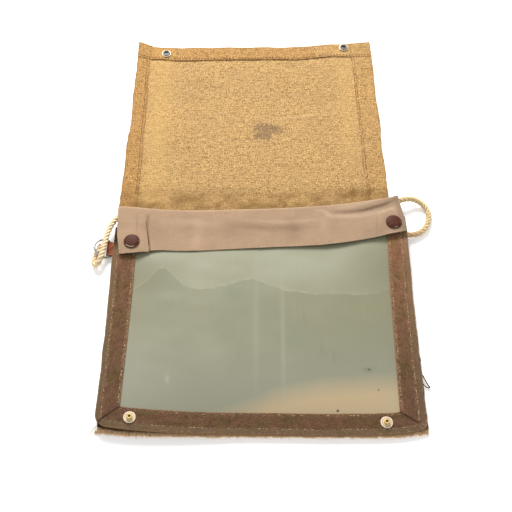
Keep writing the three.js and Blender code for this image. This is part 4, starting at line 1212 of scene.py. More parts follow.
broken_edge, given, gives = new_group(
    "broken_edge", {"Place": "Vector", "Mark": "Float", "Size": "Float"}, {"Mask": "Float"})
patch = use(broken_edge, blotches, {"Place": given["Place"], "Size": given["Size"], "Contrast": 2.6})
mixed = calc(broken_edge, "ADD", given["Mark"], calc(broken_edge, "SUBTRACT", patch["Mask"], 0.5))
broken_edge.links.new(remap(broken_edge, mixed, 0.45, 0.8), gives["Mask"])
print("Masks:", [group.name for group in (blotches, streaks, broken_edge)])

# %% [markdown]
# A material lays its tones one over another, as dye, sun, dirt and wear did. These helpers make
# a new material and read its marks, and "cover" lays one colour over the base by a mask and at
# most by a given share.

# %% Helpers for materials
def new_material(name, roughness, **sockets):
    """A material with its shader and its cloth map."""
    made = bpy.data.materials.new(name)
    made.use_nodes = True
    tree = made.node_tree
    shader = tree.nodes["Principled BSDF"]
    shader.inputs["Roughness"].default_value = roughness
    for key, value in sockets.items():
        shader.inputs[key.replace("_", " ")].default_value = value
    place = node(tree, "UVMap", uv_map="cloth").outputs[0]
    return made, tree, shader, place


def mark(tree, name):
    return node(tree, "Attribute", attribute_name=name).outputs["Fac"]


def bump(tree, shader, height, distance, strength=1.0):
    made = node(tree, "Bump", {"Height": height, "Distance": distance, "Strength": strength})
    tree.links.new(made.outputs[0], shader.inputs["Normal"])


def color(tree, shader, socket):
    tree.links.new(socket, shader.inputs["Base Color"])


def woven(tree, place, warp, weft, uneven):
    return use(tree, weave, {"Place": place, "Warp": warp, "Weft": weft, "Uneven": uneven})


def blotchy(tree, place, size, contrast):
    return use(tree, blotches, {"Place": place, "Size": size, "Contrast": contrast})["Mask"]


def streaky(tree, place, long, wide, contrast):
    inputs = {"Place": place, "Long": long, "Wide": wide, "Contrast": contrast}
    return use(tree, streaks, inputs)["Mask"]


def broken(tree, place, edge, size):
    return use(tree, broken_edge, {"Place": place, "Mark": edge, "Size": size})["Mask"]


def cover(tree, base, mask, share, shade, mode="MIX"):
    """Lay a colour over the base by a mask, and at most by this share."""
    return tint(tree, calc(tree, "MULTIPLY", mask, share), base, shade, mode)


print("Material helpers: new_material, mark, bump, color, cover and one for each group")

# %% [markdown]
# ## Materials
# The flap is a coarse golden canvas. Slubs in its yarn show as short light and dark dashes, the
# hems are redder where the cloth is double, and dirt has gathered along their ledges. A picture
# of canvas would bring its own light along. Noise and painted marks have none, and they keep
# their size in millimetres wherever the cloth bends.

# %% Flap canvas
DRY_CLOTH = {"roughness": 0.95, "Specular_IOR_Level": 0.1}
flap_canvas, tree, shader, place = new_material("flap_canvas", **DRY_CLOTH)
cloth = woven(tree, place, warp=0.85, weft=0.95, uneven=0.7)
turned = node(tree, "Mapping", {"Vector": place, "Location": (310.0, 75.0, 0.0)}).outputs[0]
grain = blotchy(tree, place, size=1.5, contrast=6.5)
coarse = blotchy(tree, place, size=5.0, contrast=4.0)
weft_dashes = streaky(tree, place, long=5.5, wide=1.15, contrast=6.0)
warp_dashes = streaky(tree, place, long=1.15, wide=5.0, contrast=6.0)
slubs = streaky(tree, place, long=46.0, wide=1.3, contrast=5.0)
patchy = blotchy(tree, place, size=46.0, contrast=3.0)
tone = calc(tree, "MULTIPLY_ADD", cloth["Thread"], 0.12, calc(tree, "MULTIPLY", grain, 0.30))
tone = calc(tree, "MULTIPLY_ADD", coarse, 0.14, tone)
tone = calc(tree, "MULTIPLY_ADD", weft_dashes, 0.25, tone)
tone = calc(tree, "MULTIPLY_ADD", warp_dashes, 0.19, tone)
tone = calc(tree, "MULTIPLY_ADD", remap(tree, slubs, 0.8, 1.0), -0.14, tone, clamp=True)
base = tint(tree, tone, (0.125, 0.058, 0.013), (0.74, 0.46, 0.185))
flecks = blotchy(tree, turned, size=1.3, contrast=6.0)
flecks = remap(tree, flecks, 0.7, 1.0)
base = cover(tree, base, flecks, 0.38, (0.88, 0.63, 0.33))
base = cover(tree, base, patchy, 0.30, (0.41, 0.265, 0.120))
base = cover(tree, base, mark(tree, "gold"), 0.3, (0.64, 0.40, 0.14))
base = cover(tree, base, mark(tree, "hem"), 0.8, (0.88, 0.77, 0.64), "MULTIPLY")
grime = broken(tree, place, mark(tree, "ledge"), size=2.2)
base = cover(tree, base, grime, 0.42, (0.115, 0.050, 0.022))
rub = broken(tree, place, mark(tree, "wear"), size=5.0)
base = cover(tree, base, rub, 0.25, (0.26, 0.14, 0.05))
# Darker in blotches near the root, beside the strip, and in one patch at the left.
root_darkening = blotchy(tree, turned, size=14.0, contrast=4.0)
near = calc(tree, "POWER", mark(tree, "root"), 2.0)
root_darkening = calc(tree, "MULTIPLY", near, calc(tree, "MULTIPLY_ADD", root_darkening, 0.6, 0.36))
base = tint(tree, root_darkening, base, (0.19, 0.105, 0.034))
base = cover(tree, base, mark(tree, "crease"), 0.2, (0.80, 0.56, 0.33))
ink = broken(tree, place, mark(tree, "smudge"), size=2.6)
base = cover(tree, base, ink, 0.5, (0.085, 0.052, 0.052))
color(tree, shader, base)
bump(tree, shader, calc(tree, "MULTIPLY_ADD", grain, 0.5, cloth["Height"]), 0.0004)
print("Flap canvas:", len(tree.nodes), "nodes")

# %% [markdown]
# The bindings are a finer dark canvas. The dye has aged unevenly from plum to greenish brown,
# and the outer band is the more olive. Where the edges, seams and corners have rubbed, the pale
# yarn inside shows, first as flecks of single threads and then as broken bare patches.

# %% Binding canvas
binding_canvas, tree, shader, place = new_material("binding_canvas", **DRY_CLOTH)
cloth = woven(tree, place, warp=0.7, weft=0.75, uneven=0.6)
grain = blotchy(tree, place, size=1.3, contrast=6.0)
coarse = blotchy(tree, place, size=6.0, contrast=4.0)
patchy = blotchy(tree, place, size=20.0, contrast=4.0)
dashes = streaky(tree, place, long=3.2, wide=1.2, contrast=4.5)
tone = calc(tree, "MULTIPLY_ADD", grain, 0.20, 0.095)
tone = calc(tree, "MULTIPLY_ADD", cloth["Thread"], 0.2, tone)
tone = calc(tree, "MULTIPLY_ADD", coarse, 0.19, tone)
tone = calc(tree, "MULTIPLY_ADD", dashes, 0.18, tone, clamp=True)
base = tint(tree, tone, (0.052, 0.026, 0.016), (0.250, 0.126, 0.074))
greenish = tint(tree, 1.0, base, (0.76, 0.96, 0.68), "MULTIPLY")
base = cover(tree, base, patchy, 0.8, greenish)
base = cover(tree, base, mark(tree, "outer"), 0.5, (0.158, 0.112, 0.066))
# Painted light, lighter toward the upper ends of the bindings.
lighter = tint(tree, 1.0, base, (1.62, 1.52, 1.46), "MULTIPLY")
base = tint(tree, mark(tree, "pale"), base, lighter)
elsewhere = node(tree, "Mapping", {"Vector": place, "Location": (230.0, 95.0, 0.0)}).outputs[0]
flecks = streaky(tree, elsewhere, long=2.2, wide=0.85, contrast=7.0)
flecks = calc(tree, "MULTIPLY", remap(tree, flecks, 0.66, 1.0), mark(tree, "rubbed"))
base = cover(tree, base, flecks, 0.42, (0.58, 0.39, 0.235))
worn = broken(tree, place, mark(tree, "wear"), size=2.4)
base = cover(tree, base, worn, 0.45, (0.40, 0.235, 0.12))
# Painted shade in the mitre gaps and on the left binding's end under the strip.
base = cover(tree, base, mark(tree, "mitre"), 0.85, (0.022, 0.012, 0.007))
color(tree, shader, base)
bump(tree, shader, calc(tree, "MULTIPLY_ADD", grain, 0.5, cloth["Height"]), 0.00035)
print("Binding canvas:", len(tree.nodes), "nodes")

# %% [markdown]
# The back is a plain undyed canvas. Only its raw edge shows, bleached and fluffy. The part of
# it that lies in under the front gets painted shade, nearly black.

# %% Back canvas
back_material, tree, shader, place = new_material("back_canvas", **DRY_CLOTH)
cloth = woven(tree, place, warp=0.9, weft=0.95, uneven=0.7)
grain = blotchy(tree, place, size=1.6, contrast=3.2)
patchy = blotchy(tree, place, size=40.0, contrast=3.0)
tone = calc(tree, "MULTIPLY_ADD", cloth["Thread"], 0.5, calc(tree, "MULTIPLY", grain, 0.5), clamp=True)
base = tint(tree, tone, (0.19, 0.105, 0.045), (0.40, 0.245, 0.115))
base = cover(tree, base, patchy, 0.4, (0.24, 0.155, 0.08))
base = cover(tree, base, mark(tree, "wear"), 0.75, (0.72, 0.48, 0.27))
frayed = broken(tree, place, mark(tree, "wear"), size=2.0)
base = cover(tree, base, frayed, 0.75, (0.92, 0.62, 0.35))
# Painted shade, nearly black, on the part of the back that lies under the front.
base = cover(tree, base, mark(tree, "painted_deep_shade"), 0.96, (0.014, 0.008, 0.005))
color(tree, shader, base)
bump(tree, shader, cloth["Height"], 0.0005)
print("Back canvas:", len(tree.nodes), "nodes")

# %% [markdown]
# The strip is a fine cotton drill that has faded to a mauve brown. It has hardly any grain at
# this distance, so its look comes from soft folds, with painted shade in the dents and painted
# light on the ridges, and from a greyer right end where it has rubbed against the cord.

# %% Strip cotton
strip_cotton, tree, shader, place = new_material("strip_cotton", 0.92, Specular_IOR_Level=0.12)
cloth = woven(tree, place, warp=0.45, weft=0.5, uneven=0.3)
patchy = blotchy(tree, place, size=26.0, contrast=2.2)
dashes = streaky(tree, place, long=9.0, wide=0.9, contrast=1.8)
tone = calc(tree, "MULTIPLY_ADD", cloth["Thread"], 0.3, calc(tree, "MULTIPLY", dashes, 0.35))
tone = calc(tree, "MULTIPLY_ADD", patchy, 0.35, tone, clamp=True)
base = tint(tree, tone, (0.290, 0.190, 0.120), (0.460, 0.310, 0.195))
# Painted shade in the dents of the folds and painted light on their ridges.
fold_shade_and_light = mark(tree, "fold_shade_and_light")
base = tint(tree, remap(tree, fold_shade_and_light, 0.0, 1.2), base, (0.105, 0.060, 0.036))
base = tint(tree, remap(tree, fold_shade_and_light, 0.0, -0.9), base, (0.56, 0.40, 0.27))
base = cover(tree, base, mark(tree, "end"), 0.65, (0.195, 0.145, 0.10))
worn = broken(tree, place, mark(tree, "wear"), size=3.0)
base = cover(tree, base, worn, 0.3, (0.52, 0.39, 0.27))
color(tree, shader, base)
bump(tree, shader, cloth["Height"], 0.0002)
print("Strip cotton:", len(tree.nodes), "nodes")

# %% [markdown]
# The window has yellowed to a pale grey green. A milky haze fills its upper part down to a wavy
# line, where it has dried to a lighter rim, and the lower right corner is clearer and lets the
# tan canvas show through. Real transparency over the canvas would look much the same through so
# clouded a sheet, so the tones are painted on it and it stays opaque.

# %% Window sheet
STAIN_SPOTS = ((94.1, -174.3, 0.5), (101.1, -193.6, 0.3), (65.0, -212.6, 0.9))
clear_sheet, tree, shader, place = new_material(
    "clear_sheet", 0.32, IOR=1.49, Specular_IOR_Level=0.25)
cloudy = blotchy(tree, place, size=45.0, contrast=2.0)
wavy = blotchy(tree, place, size=14.0, contrast=2.0)
scuffs = streaky(tree, place, long=1.4, wide=26.0, contrast=3.4)
base = tint(tree, cloudy, (0.193, 0.196, 0.130), (0.208, 0.198, 0.116))
base = tint(tree, mark(tree, "low"), base, (0.224, 0.226, 0.164))
base = cover(tree, base, scuffs, 0.1, (0.25, 0.255, 0.18))
wobble = calc(tree, "MULTIPLY", calc(tree, "SUBTRACT", wavy, 0.5), 1.6)
line = calc(tree, "ADD", mark(tree, "sky"), wobble)
sky = remap(tree, line, -0.4, 0.8)
sky_tone = tint(tree, mark(tree, "glow"), (0.236, 0.231, 0.147), (0.285, 0.280, 0.198))
base = cover(tree, base, sky, 0.85, sky_tone)
dried = calc(tree, "MULTIPLY", remap(tree, line, -0.2, 0.6), remap(tree, line, 4.6, 0.7))
ragged = remap(tree, blotchy(tree, place, size=9.0, contrast=3.0), 0.25, 0.7)
dried = calc(tree, "MULTIPLY", dried, ragged)
base = cover(tree, base, dried, 0.26, (0.325, 0.315, 0.215))
sand = calc(tree, "MULTIPLY_ADD", wavy, 2.0, mark(tree, "sand"))
base = tint(tree, remap(tree, sand, -4.0, 17.0), base, (0.43, 0.322, 0.182))
base = tint(tree, mark(tree, "speck"), base, (0.10, 0.10, 0.06))
for x, y, size in STAIN_SPOTS:
    away = node(tree, "VectorMath", {0: place, 1: (x, y, 0.0)}, operation="DISTANCE").outputs["Value"]
    base = tint(tree, remap(tree, away, size + 0.7, size), base, (0.055, 0.05, 0.03))
base = cover(tree, base, mark(tree, "streak"), 0.62, (0.34, 0.345, 0.26))
# Painted shade along the edges of the window, beside the bindings and under the strip.
base = cover(tree, base, mark(tree, "rim"), 0.3, (0.215, 0.195, 0.14))
color(tree, shader, base)
tree.links.new(remap(tree, cloudy, 0, 1, 0.26, 0.42), shader.inputs["Roughness"])
bump(tree, shader, scuffs, 0.00002)
print("Window sheet:", len(tree.nodes), "nodes")

# %% [markdown]
# ## Metals, enamel and leather
# The bare brass has gone dull and cream-coloured, with the yellow metal left on the neck that
# the socket rubs, and painted shade in the hole in the middle. The sockets are greyer, with
# painted shade inside their bore. The tone of each follows its distance from the axis, which
# every turned piece keeps as a mark.

# %% Brass of the press studs
brass, tree, shader, place = new_material("brass", 0.5, Metallic=0.2, Specular_IOR_Level=0.3)
spots = blotchy(tree, place, size=1.3, contrast=3.0)
radius = mark(tree, "radius")
cream = tint(tree, spots, (0.54, 0.43, 0.30), (0.80, 0.68, 0.53))
base = tint(tree, remap(tree, radius, 3.0, 2.6), cream, (0.60, 0.41, 0.15))
# Painted shade in the hole in the middle of the stud.
base = tint(tree, remap(tree, radius, 1.5, 0.9), base, (0.05, 0.035, 0.018))
groove = calc(tree, "MULTIPLY", remap(tree, radius, 3.2, 3.7), remap(tree, radius, 4.6, 4.0))
base = tint(tree, groove, base, (0.42, 0.33, 0.20))
color(tree, shader, base)

socket_metal, tree, shader, place = new_material(
    "socket_metal", 0.45, Metallic=0.3, Specular_IOR_Level=0.3)
spots = blotchy(tree, place, size=1.3, contrast=3.0)
radius = mark(tree, "radius")
base = tint(tree, spots, (0.40, 0.33, 0.25), (0.64, 0.55, 0.45))
base = tint(tree, remap(tree, radius, 4.3, 4.0), base, (0.20, 0.18, 0.15))
# Painted shade inside the socket's bore.
base = tint(tree, remap(tree, radius, 2.8, 2.4), base, (0.03, 0.03, 0.03))
color(tree, shader, base)

hidden_brass, tree, shader, place = new_material("hidden_brass", 0.45, Metallic=0.8)
where = node(tree, "TexCoord").outputs["Object"]
tarnish = blotchy(tree, where, size=0.003, contrast=3.0)
color(tree, shader, tint(tree, tarnish, (0.30, 0.21, 0.10), (0.62, 0.48, 0.24)))
print("Brass: on bare studs, on sockets and on the hidden parts")

# %% [markdown]
# The caps are brown enamel over brass. The rim is paler only on its side toward the camera, with
# chipped enamel and a painted highlight there, so a mark for that side limits them.

# %% Cap enamel
cap_enamel, tree, shader, place = new_material("cap_enamel", 0.5, Specular_IOR_Level=0.07)
spots = blotchy(tree, place, size=2.2, contrast=3.0)
base = tint(tree, spots, (0.056, 0.018, 0.0095), (0.084, 0.029, 0.018))
radius = mark(tree, "radius")
rim = calc(tree, "MULTIPLY", remap(tree, radius, 5.7, 6.2), remap(tree, radius, 7.2, 6.8))
rim = calc(tree, "MULTIPLY", rim, mark(tree, "glint_and_wear_side"))
# Chipped enamel and a painted highlight on the rim's side toward the camera.
chips_and_glint = broken(tree, place, rim, size=4.0)
base = cover(tree, base, chips_and_glint, 0.8, (0.62, 0.47, 0.34))
color(tree, shader, base)
tree.links.new(remap(tree, spots, 0, 1, 0.42, 0.58), shader.inputs["Roughness"])
print("Cap enamel:", len(tree.nodes), "nodes")

# %% [markdown]
# The ring is worn steel in spots of light and dark. The tab is oiled leather whose fine pores
# show only as a slight roughness, with its dye rubbed off along the cut edges.

# %% Ring steel and tab leather
ring_steel, tree, shader, place = new_material("ring_steel", 0.4, Metallic=0.9)
spots = blotchy(tree, place, size=1.6, contrast=3.4)
base = tint(tree, spots, (0.20, 0.18, 0.15), (0.50, 0.49, 0.47))
color(tree, shader, base)
tree.links.new(remap(tree, spots, 0, 1, 0.55, 0.3), shader.inputs["Roughness"])

tab_leather, tree, shader, place = new_material("tab_leather", 0.6, Specular_IOR_Level=0.3)
patchy = blotchy(tree, place, size=5.0, contrast=3.4)
pores = node(tree, "TexVoronoi", {"Vector": place, "Scale": 1.6}, feature="DISTANCE_TO_EDGE")
base = tint(tree, patchy, (0.145, 0.032, 0.009), (0.34, 0.088, 0.024))
worn = broken(tree, place, mark(tree, "wear"), size=2.0)
base = cover(tree, base, worn, 0.6, (0.55, 0.33, 0.17))
color(tree, shader, base)
bump(tree, shader, remap(tree, pores.outputs[0], 0.0, 0.12), 0.00012)
print("Tab leather:", len(tree.nodes), "nodes")

# %% [markdown]
# ## Rope and threads
# The rope's yarns run slanting over its strands, so the noise that draws them is turned with the
# lay. It is stained at the sewn-in end, bleached at the ring and has painted shade in the grooves
# between its strands. The threads are plain, each with a dark and a light tone.

# %% Rope and threads
YARN_TURN = 3.0 / CORD_LAY
rope_yarn, tree, shader, place = new_material("rope_yarn", 0.92, Specular_IOR_Level=0.1)
part = node(tree, "SeparateXYZ", {0: place}).outputs
turned = calc(tree, "MULTIPLY_ADD", part["X"], YARN_TURN, part["Y"])
where = node(tree, "CombineXYZ", {
    "X": calc(tree, "MULTIPLY", part["X"], 0.3), "Y": calc(tree, "MULTIPLY", turned, 7.0)})
yarns = node(tree, "TexNoise", {"Vector": where.outputs[0], "Scale": 1.0, "Detail": 2.0})
yarns = remap(tree, yarns.outputs[0], 0.3, 0.7)
stain = blotchy(tree, place, size=16.0, contrast=3.2)
base = tint(tree, yarns, (0.57, 0.43, 0.22), (0.76, 0.61, 0.345))
base = cover(tree, base, stain, 0.35, (0.66, 0.45, 0.28))
base = cover(tree, base, mark(tree, "soil"), 0.6, (0.40, 0.22, 0.11))
# Painted shade in the grooves between the strands.
painted_deep_shade = remap(tree, mark(tree, "ridge"), 0.35, 0.0)
base = cover(tree, base, painted_deep_shade, 0.22, (0.42, 0.27, 0.13))
base = cover(tree, base, mark(tree, "bleached"), 0.5, (0.88, 0.70, 0.49))
color(tree, shader, base)
bump(tree, shader, yarns, 0.0002)


def thread_material(name, dark, light):
    made, tree, shader, place = new_material(name, **DRY_CLOTH)
    spots = blotchy(tree, place, size=5.0, contrast=5.0)
    color(tree, shader, tint(tree, spots, dark, light))
    return made


pale_thread = thread_material("pale_thread", (0.17, 0.10, 0.055), (0.60, 0.42, 0.25))
worn_thread = thread_material("worn_thread", (0.12, 0.065, 0.035), (0.74, 0.47, 0.25))
dark_thread = thread_material("dark_thread", (0.055, 0.026, 0.014), (0.17, 0.085, 0.042))
flap_thread = thread_material("flap_thread", (0.10, 0.045, 0.025), (0.27, 0.14, 0.07))
frayed_yarn = thread_material("frayed_yarn", (0.52, 0.30, 0.13), (0.92, 0.68, 0.42))
print("Materials:", len(bpy.data.materials), "and node groups:", len(bpy.data.node_groups))

# %% [markdown]
# ## Sewing threads
# Stitches are short rods whose ends dip into the cloth. They lie on the finished pieces, found
# by looking straight down on them, so they follow every hump. One stitch could be repeated by an
# array, but worn sewing has no two stitches of the same length and lie.

# %% Threads
def height_of(*pieces):
    """The height of the topmost of these pieces over any place, in millimetres."""
    graph = bpy.context.evaluated_depsgraph_get()
    trees = [BVHTree.FromObject(piece, graph) for piece in pieces]

    def look_down(x, y):
        found = [tree.ray_cast(Vector((x, y, 60)) * MM, Vector((0, 0, -1)))[0] for tree in trees]
        found = [hit.z / MM for hit in found if hit]
        return max(found) if found else 0.0

    return look_down


def thread_piece(name, paths, radius, finish, taper=0.0, sides=6):
    """Many short threads as one piece. paths is threads by points by place."""
    paths = np.asarray(paths, float)
    count, steps = paths.shape[:2]
    along = np.gradient(paths, axis=1)
    along /= np.linalg.norm(along, axis=2, keepdims=True) + 1e-9
    side = np.cross(along, [0.13, 0.21, 1.0])
    side /= np.linalg.norm(side, axis=2, keepdims=True) + 1e-9
    up = np.cross(side, along)
    turn = 2 * np.pi * np.arange(sides) / sides
    size = radius * (1 - taper * np.linspace(0, 1, steps) ** 2)[None, :, None, None]
    round_it = np.cos(turn)[:, None] * side[:, :, None] + np.sin(turn)[:, None] * up[:, :, None]
    rings = paths[:, :, None] + size * round_it
    ids = np.arange(count * steps * sides).reshape(count, steps, sides)
    faces = quads(ids[:, :-1], np.roll(ids[:, :-1], -1, 2), np.roll(ids[:, 1:], -1, 2), ids[:, 1:])
    caps = np.vstack([ids[:, 0, ::-1], ids[:, -1]])
    run = np.cumsum(np.linalg.norm(np.diff(paths, axis=1, prepend=paths[:, :1]), axis=2), axis=1)
    flat = np.stack(np.broadcast_arrays(
        run[:, :, None] + 7.3 * np.arange(count)[:, None, None], 0.8 * turn), -1).reshape(-1, 2)
    cloth = np.vstack([flat[faces.ravel()], flat[caps.ravel()]])
    piece = mesh_piece(name, rings.reshape(-1, 3), faces.tolist() + caps.tolist(), cloth, sharp=80)
    piece.data.materials.append(finish)
    return piece


def stitches(line, surface, pitch=STITCH_PITCH, length=2.1, thick=0.42, seed=0, lost=0.04, sink=0.25):
    """Paths for a row of stitches along a line of places."""
    random = np.random.default_rng(seed)
    line = np.column_stack([np.asarray(line, float), np.zeros(len(line))])
    path, run = spline(line, 0.25)
    paths = []
    for start in np.arange(0.5, run[-1] - length, pitch):
        if random.random() < lost:
            continue
        start = start + random.uniform(-0.2, 0.2)
        at = start + length * random.uniform(0.85, 1.1) * np.linspace(0, 1, 6)
        x, y = blunt(np.interp(at, run, path[:, 0]), np.interp(at, run, path[:, 1]))
        y = y + random.uniform(-0.12, 0.12)
        x = x + random.uniform(-0.12, 0.12)
        ground = np.array([surface(a, b) for a, b in zip(x, y)])
        lift = thick * 0.55 - (sink + thick) * np.array([1, 0.15, 0, 0, 0.15, 1])
        paths.append(np.stack([x, y, ground.max() * 0.4 + ground * 0.6 + lift], -1))
    return paths


print("Stitches are", STITCH_PITCH, "mm apart on the bindings and", FLAP_PITCH, "mm on the flap")

# %% [markdown]
# Two rows of stitches hold each binding: one in the canvas and one close to the window. Many are
# worn away, and each row has its own share of lost ones. The outer row of the bottom binding has
# gone from its left end, where the seam has opened.

# %% Stitches of the bindings
LOST = {("left", "outer"): 0.35, ("left", "inner"): 0.2, ("right", "outer"): 0.06,
        ("right", "inner"): 0.4, ("bottom", "outer"): 0.25, ("bottom", "inner"): 0.6}
OPEN_SEAM_LENGTH = 42
THREAD_RADIUS = 0.25
SIDE_ROWS = (("outer", 91, 5.0), ("inner", 95, 17.5))
BOTTOM_ROWS = (
    ("outer", 97, STITCH_OUTER, OPEN_SEAM_LENGTH), ("inner", 98, BOTTOM_WIDTH - STITCH_INNER, 1))
body_height = height_of(*bindings.values())
rows = {"outer": [], "inner": []}
for seed, (name, binding) in enumerate(SIDES.items()):
    side = binding["side"]
    start = -binding["upper_end"] * STRIP_DEPTH
    for which, first_seed, stops_short in SIDE_ROWS:
        end = float(front_bottom(np.array(side * HALF_BODY)) + stops_short)
        line = []
        for y in np.linspace(start - 1, end, 14):
            at = float(side_width(binding, -y / BODY_LENGTH)) - STITCH_INNER
            if which == "outer":
                at = STITCH_OUTER + RIGHT_ROW_IN * (side > 0)
            line.append([side_x(side, at, y), y])
        rows[which] += stitches(line, body_height, seed=first_seed + seed, lost=LOST[name, which])
for which, seed, depth, starts_in in BOTTOM_ROWS:
    left_end = HALF_BODY - depth * left_width / BOTTOM_WIDTH
    right_end = HALF_BODY - depth * right_width / BOTTOM_WIDTH
    xs = np.linspace(-left_end + starts_in, right_end - 1, 20)
    line = np.column_stack([xs, front_bottom(xs) + depth])
    rows[which] += stitches(line, body_height, seed=seed, lost=LOST["bottom", which])
thread_piece("binding_stitches", rows["outer"], THREAD_RADIUS, pale_thread)
thread_piece("window_stitches", rows["inner"], THREAD_RADIUS, worn_thread)
print("Binding stitches:", len(rows["outer"]) + len(rows["inner"]))

# %% [markdown]
# The hems of the flap are sewn with a thicker thread that has nearly the colour of the cloth, so
# these rows show as small shadows more than as lines.

# %% Stitches of the flap
FLAP_THREAD_RADIUS = 0.34
flap_height = height_of(flap)
flap_rows = []
for seed, which in enumerate(("left", "right")):
    line = []
    for y in np.linspace(20.0, FLAP_LENGTH - HEM_TOP + 1, 12):
        left, right, _ = flap_hems(0.0, y)
        x = left - FLAP_ROW_IN if which == "left" else -right + FLAP_ROW_IN
        line.append([x, y + flap_shift(x, y)])
    flap_rows += stitches(line, flap_height, pitch=FLAP_PITCH, seed=101 + seed)
xs = np.linspace(FLAP_OFFSET - 127, FLAP_OFFSET + 127, 20)
top_line = np.column_stack([xs, FLAP_LENGTH - HEM_TOP + 2.4 - 0.5 * ripple(xs, 0 * xs, 45, 72)])
top_line[:, 1] += flap_shift(xs, top_line[:, 1])
flap_rows += stitches(top_line, flap_height, pitch=FLAP_PITCH, seed=103)
thread_piece("flap_stitches", flap_rows, FLAP_THREAD_RADIUS, flap_thread)
print("Flap stitches:", len(flap_rows))

# %% [markdown]
# ## Frayed yarn
# Yarn that has worked out of a raw edge is the same kind of rod as a stitch, thinner and bent at
# random. It is thickest at the two lower corners and thin along the sides, as in the photograph.
# Hair would be finer still, but it isn't kept when the model is exported, and these rods are.

# %% Frayed edge of the back
def fibres(starts, directions, reach, seed, droop=0.3, steps=6, floor_at=0.12):
    """Bent paths of frayed yarn from these starts."""
    random = np.random.default_rng(seed)
    starts, directions = np.asarray(starts, float), np.asarray(directions, float)
    count = len(starts)
    length = reach * random.uniform(0.35, 1.0, (count, 1)) ** 1.5
    direction = directions + random.normal(0, 0.45, (count, 3)) * [1, 1, 0.35]
    direction /= np.linalg.norm(direction, axis=1, keepdims=True)
    bend = random.normal(0, 0.5, (count, 3)) * [1, 1, 0.25]
    t = np.linspace(0, 1, steps)[None, :, None]
    paths = starts[:, None] + length[:, None] * (direction[:, None] * t + bend[:, None] * t * t)
    paths[..., 2] = np.maximum(paths[..., 2] - droop * length * t[..., 0] ** 2, floor_at)
    return paths


BOTTOM_YARNS = 900
SIDE_YARNS = 700
random = np.random.default_rng(5)
share = np.concatenate([
    random.beta(0.5, 2.4, 560), 1 - random.beta(0.4, 3.5, 160), random.uniform(0, 1, 180)])
x = mix(-HALF_BODY, HALF_BODY, share)
starts = np.stack([x, back_bottom(x) + 0.5, random.uniform(0.25, 1.5, BOTTOM_YARNS)], 1)
bottom_fray = fibres(starts, np.tile([0.0, -1.0, 0.15], (BOTTOM_YARNS, 1)), 2.3, 6)
down = np.concatenate([random.uniform(0.1, 1.0, 480), 1 - random.beta(0.6, 4.0, 220)])
side = np.where(random.random(SIDE_YARNS) < 0.3, -1, 1)
y = -BODY_LENGTH * down * 0.98
x = side * (HALF_BODY - 0.4 + np.where(side > 0, 0.5 * down, -0.2))
starts = np.stack([x, y, random.uniform(0.3, 1.5, SIDE_YARNS)], 1)
side_fray = fibres(starts, np.stack([side, 0 * x - 0.2, 0 * x + 0.2], 1), 1.6, 7)
thread_piece(
    "frayed_edge", np.vstack([bottom_fray, side_fray]), 0.11, frayed_yarn, 0.5, 4)
print("Frayed yarns:", BOTTOM_YARNS + SIDE_YARNS)

# %% [markdown]
# The cut right end of the strip has frayed where the cord rubs it, and the whole rope is fuzzy
# with fine hairs that lean along it.

# %% Fibres of the strip and the rope
STRIP_FIBRES = 90
ends = outer[-1][(outer[-1, :, 1] > -31) & (outer[-1, :, 1] < 3) & (outer[-1, :, 2] > 8)]
picked = ends[random.integers(0, len(ends), STRIP_FIBRES)] - [0.3, 0, 0.35]
end_fray = fibres(picked, np.tile([1.0, -0.3, 0.0], (STRIP_FIBRES, 1)), 1.5, 11)
thread_piece("strip_fray", end_fray, 0.09, pale_thread, 0.5, 4)

rope_starts, rope_ways = [], []
for path, total in ((cord_path, 330), (hitch_path, 70)):
    at = random.integers(2, len(path) - 2, total)
    side, up = frames(path)
    angle = random.uniform(0, 2 * np.pi, total)
    way = np.cos(angle)[:, None] * side[at] + np.sin(angle)[:, None] * up[at]
    rope_starts.append(path[at] + 2.2 * way)
    rope_ways.append(way + 0.9 * np.gradient(path, axis=0)[at])
fuzz = fibres(np.vstack(rope_starts), np.vstack(rope_ways), 1.5, 8, droop=0.0, steps=5)
thread_piece("rope_fuzz", fuzz, 0.05, frayed_yarn, 0.6, 4)
print("Fibres:", STRIP_FIBRES, "on the strip and", len(fuzz), "on the rope")

# %% [markdown]
# Two long threads hang loose: a pale one at the lower left corner and a dark one at the right
# side. Their routes follow the photograph.

# %% Loose threads
LOOSE = {
    "corner_thread": [[-137.5, -226.5, 6.2], [-140.2, -228.6, 5.2], [-142.4, -230.8, 3.4],
                      [-144.2, -231.6, 1.8], [-145.4, -233.4, 0.9]],
    "side_thread": [[138.6, -176.5, 2.8], [140.9, -179.4, 2.9], [142.9, -183.8, 2.4],
                    [144.9, -187.6, 1.6], [146.2, -189.4, 1.0], [144.4, -189.6, 0.9],
                    [141.6, -187.6, 1.4], [139.0, -184.0, 1.9]],
}
for name, route in LOOSE.items():
    path, run = spline(route, 0.4)
    radius, finish = (0.3, pale_thread) if name == "corner_thread" else (0.6, dark_thread)
    thread_piece(name, path[None], radius, finish, 0.3, 8)
print("Loose threads:", sorted(LOOSE))

# %% [markdown]
# ## Put the materials on
# Each piece gets one material. The caps of the flap are the same brown enamel as those of the
# strip, and the four hidden parts under the strip keep their CAD shape and only get brass.

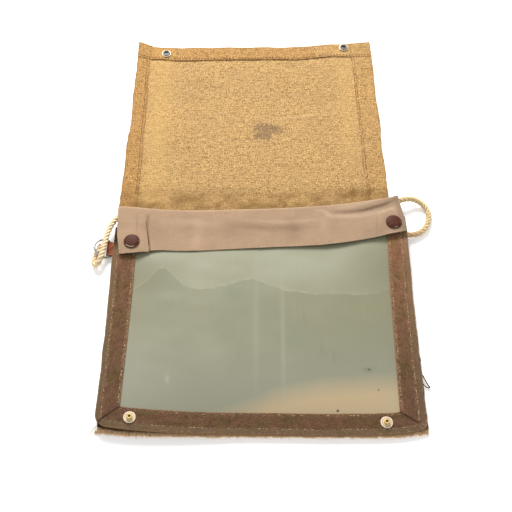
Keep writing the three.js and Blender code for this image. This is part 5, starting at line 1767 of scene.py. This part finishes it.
# %% Put the materials on
FINISHES = [
    (back, back_material), (window, clear_sheet), (flap, flap_canvas), (strip, strip_cotton),
    (cord, rope_yarn), (hitch, rope_yarn), (ring, ring_steel), (tab, tab_leather)]
FINISHES += [(piece, binding_canvas) for piece in bindings.values()]
METALS = {"cap": cap_enamel, "flap_cap": cap_enamel, "closing": brass, "flap_socket": socket_metal}
FINISHES += [(piece, METALS[name.rsplit("_", 1)[0]]) for name, piece in studs.items()]
for name in ("strip_stud_left", "strip_stud_right", "strip_socket_left", "strip_socket_right"):
    FINISHES.append((nodes[name], hidden_brass))
for piece, finish in FINISHES:
    piece.data.materials.clear()
    piece.data.materials.append(finish)
print("Finished pieces:", len(FINISHES))

# %% [markdown]
# ## Floor and light
# The photograph is cut out on white, so the case lies on a plain white floor under a white sky.
# One large soft lamp from behind and above gives the soft shadows under the strip and the rope,
# and the plain view transform keeps the whites white.

# %% Floor and light
FLOOR_REACH = 3.0
FLOOR_GLOW = 0.2
SKY_STRENGTH = 0.76
LAMP_PLACE = (-0.25, 1.15, 0.95)
LAMP_AIM = (0, -0.02, 0)
floor_mesh = bpy.data.meshes.new("floor")
corners = [(-1, -1, 0), (1, -1, 0), (1, 1, 0), (-1, 1, 0)]
floor_mesh.from_pydata([Vector(corner) * FLOOR_REACH for corner in corners], [], [(0, 1, 2, 3)])
floor = bpy.data.objects.new("floor", floor_mesh)
floor.location.z = -0.0004
bpy.context.scene.collection.objects.link(floor)
white = bpy.data.materials.new("floor_white")
white.use_nodes = True
paper = white.node_tree.nodes["Principled BSDF"].inputs
paper["Base Color"].default_value = (0.9, 0.9, 0.9, 1)
paper["Roughness"].default_value = 0.9
paper["Emission Color"].default_value = (1, 1, 1, 1)
paper["Emission Strength"].default_value = FLOOR_GLOW
floor.data.materials.append(white)

world = bpy.data.worlds.new("studio")
world.use_nodes = True
sky = world.node_tree.nodes["Background"].inputs
sky["Color"].default_value = (1, 1, 1, 1)
sky["Strength"].default_value = SKY_STRENGTH
bpy.context.scene.world = world

lamp = bpy.data.objects.new("overhead_softbox", bpy.data.lights.new("overhead_softbox", "AREA"))
lamp.data.shape = "DISK"
lamp.data.size = 0.7
lamp.data.energy = 36
lamp.location = Vector(LAMP_PLACE)
lamp.rotation_euler = (Vector(LAMP_AIM) - lamp.location).to_track_quat("-Z", "Y").to_euler()
bpy.context.scene.collection.objects.link(lamp)
bpy.context.scene.view_settings.view_transform = "Standard"
print("Floor, sky and one soft lamp are set")
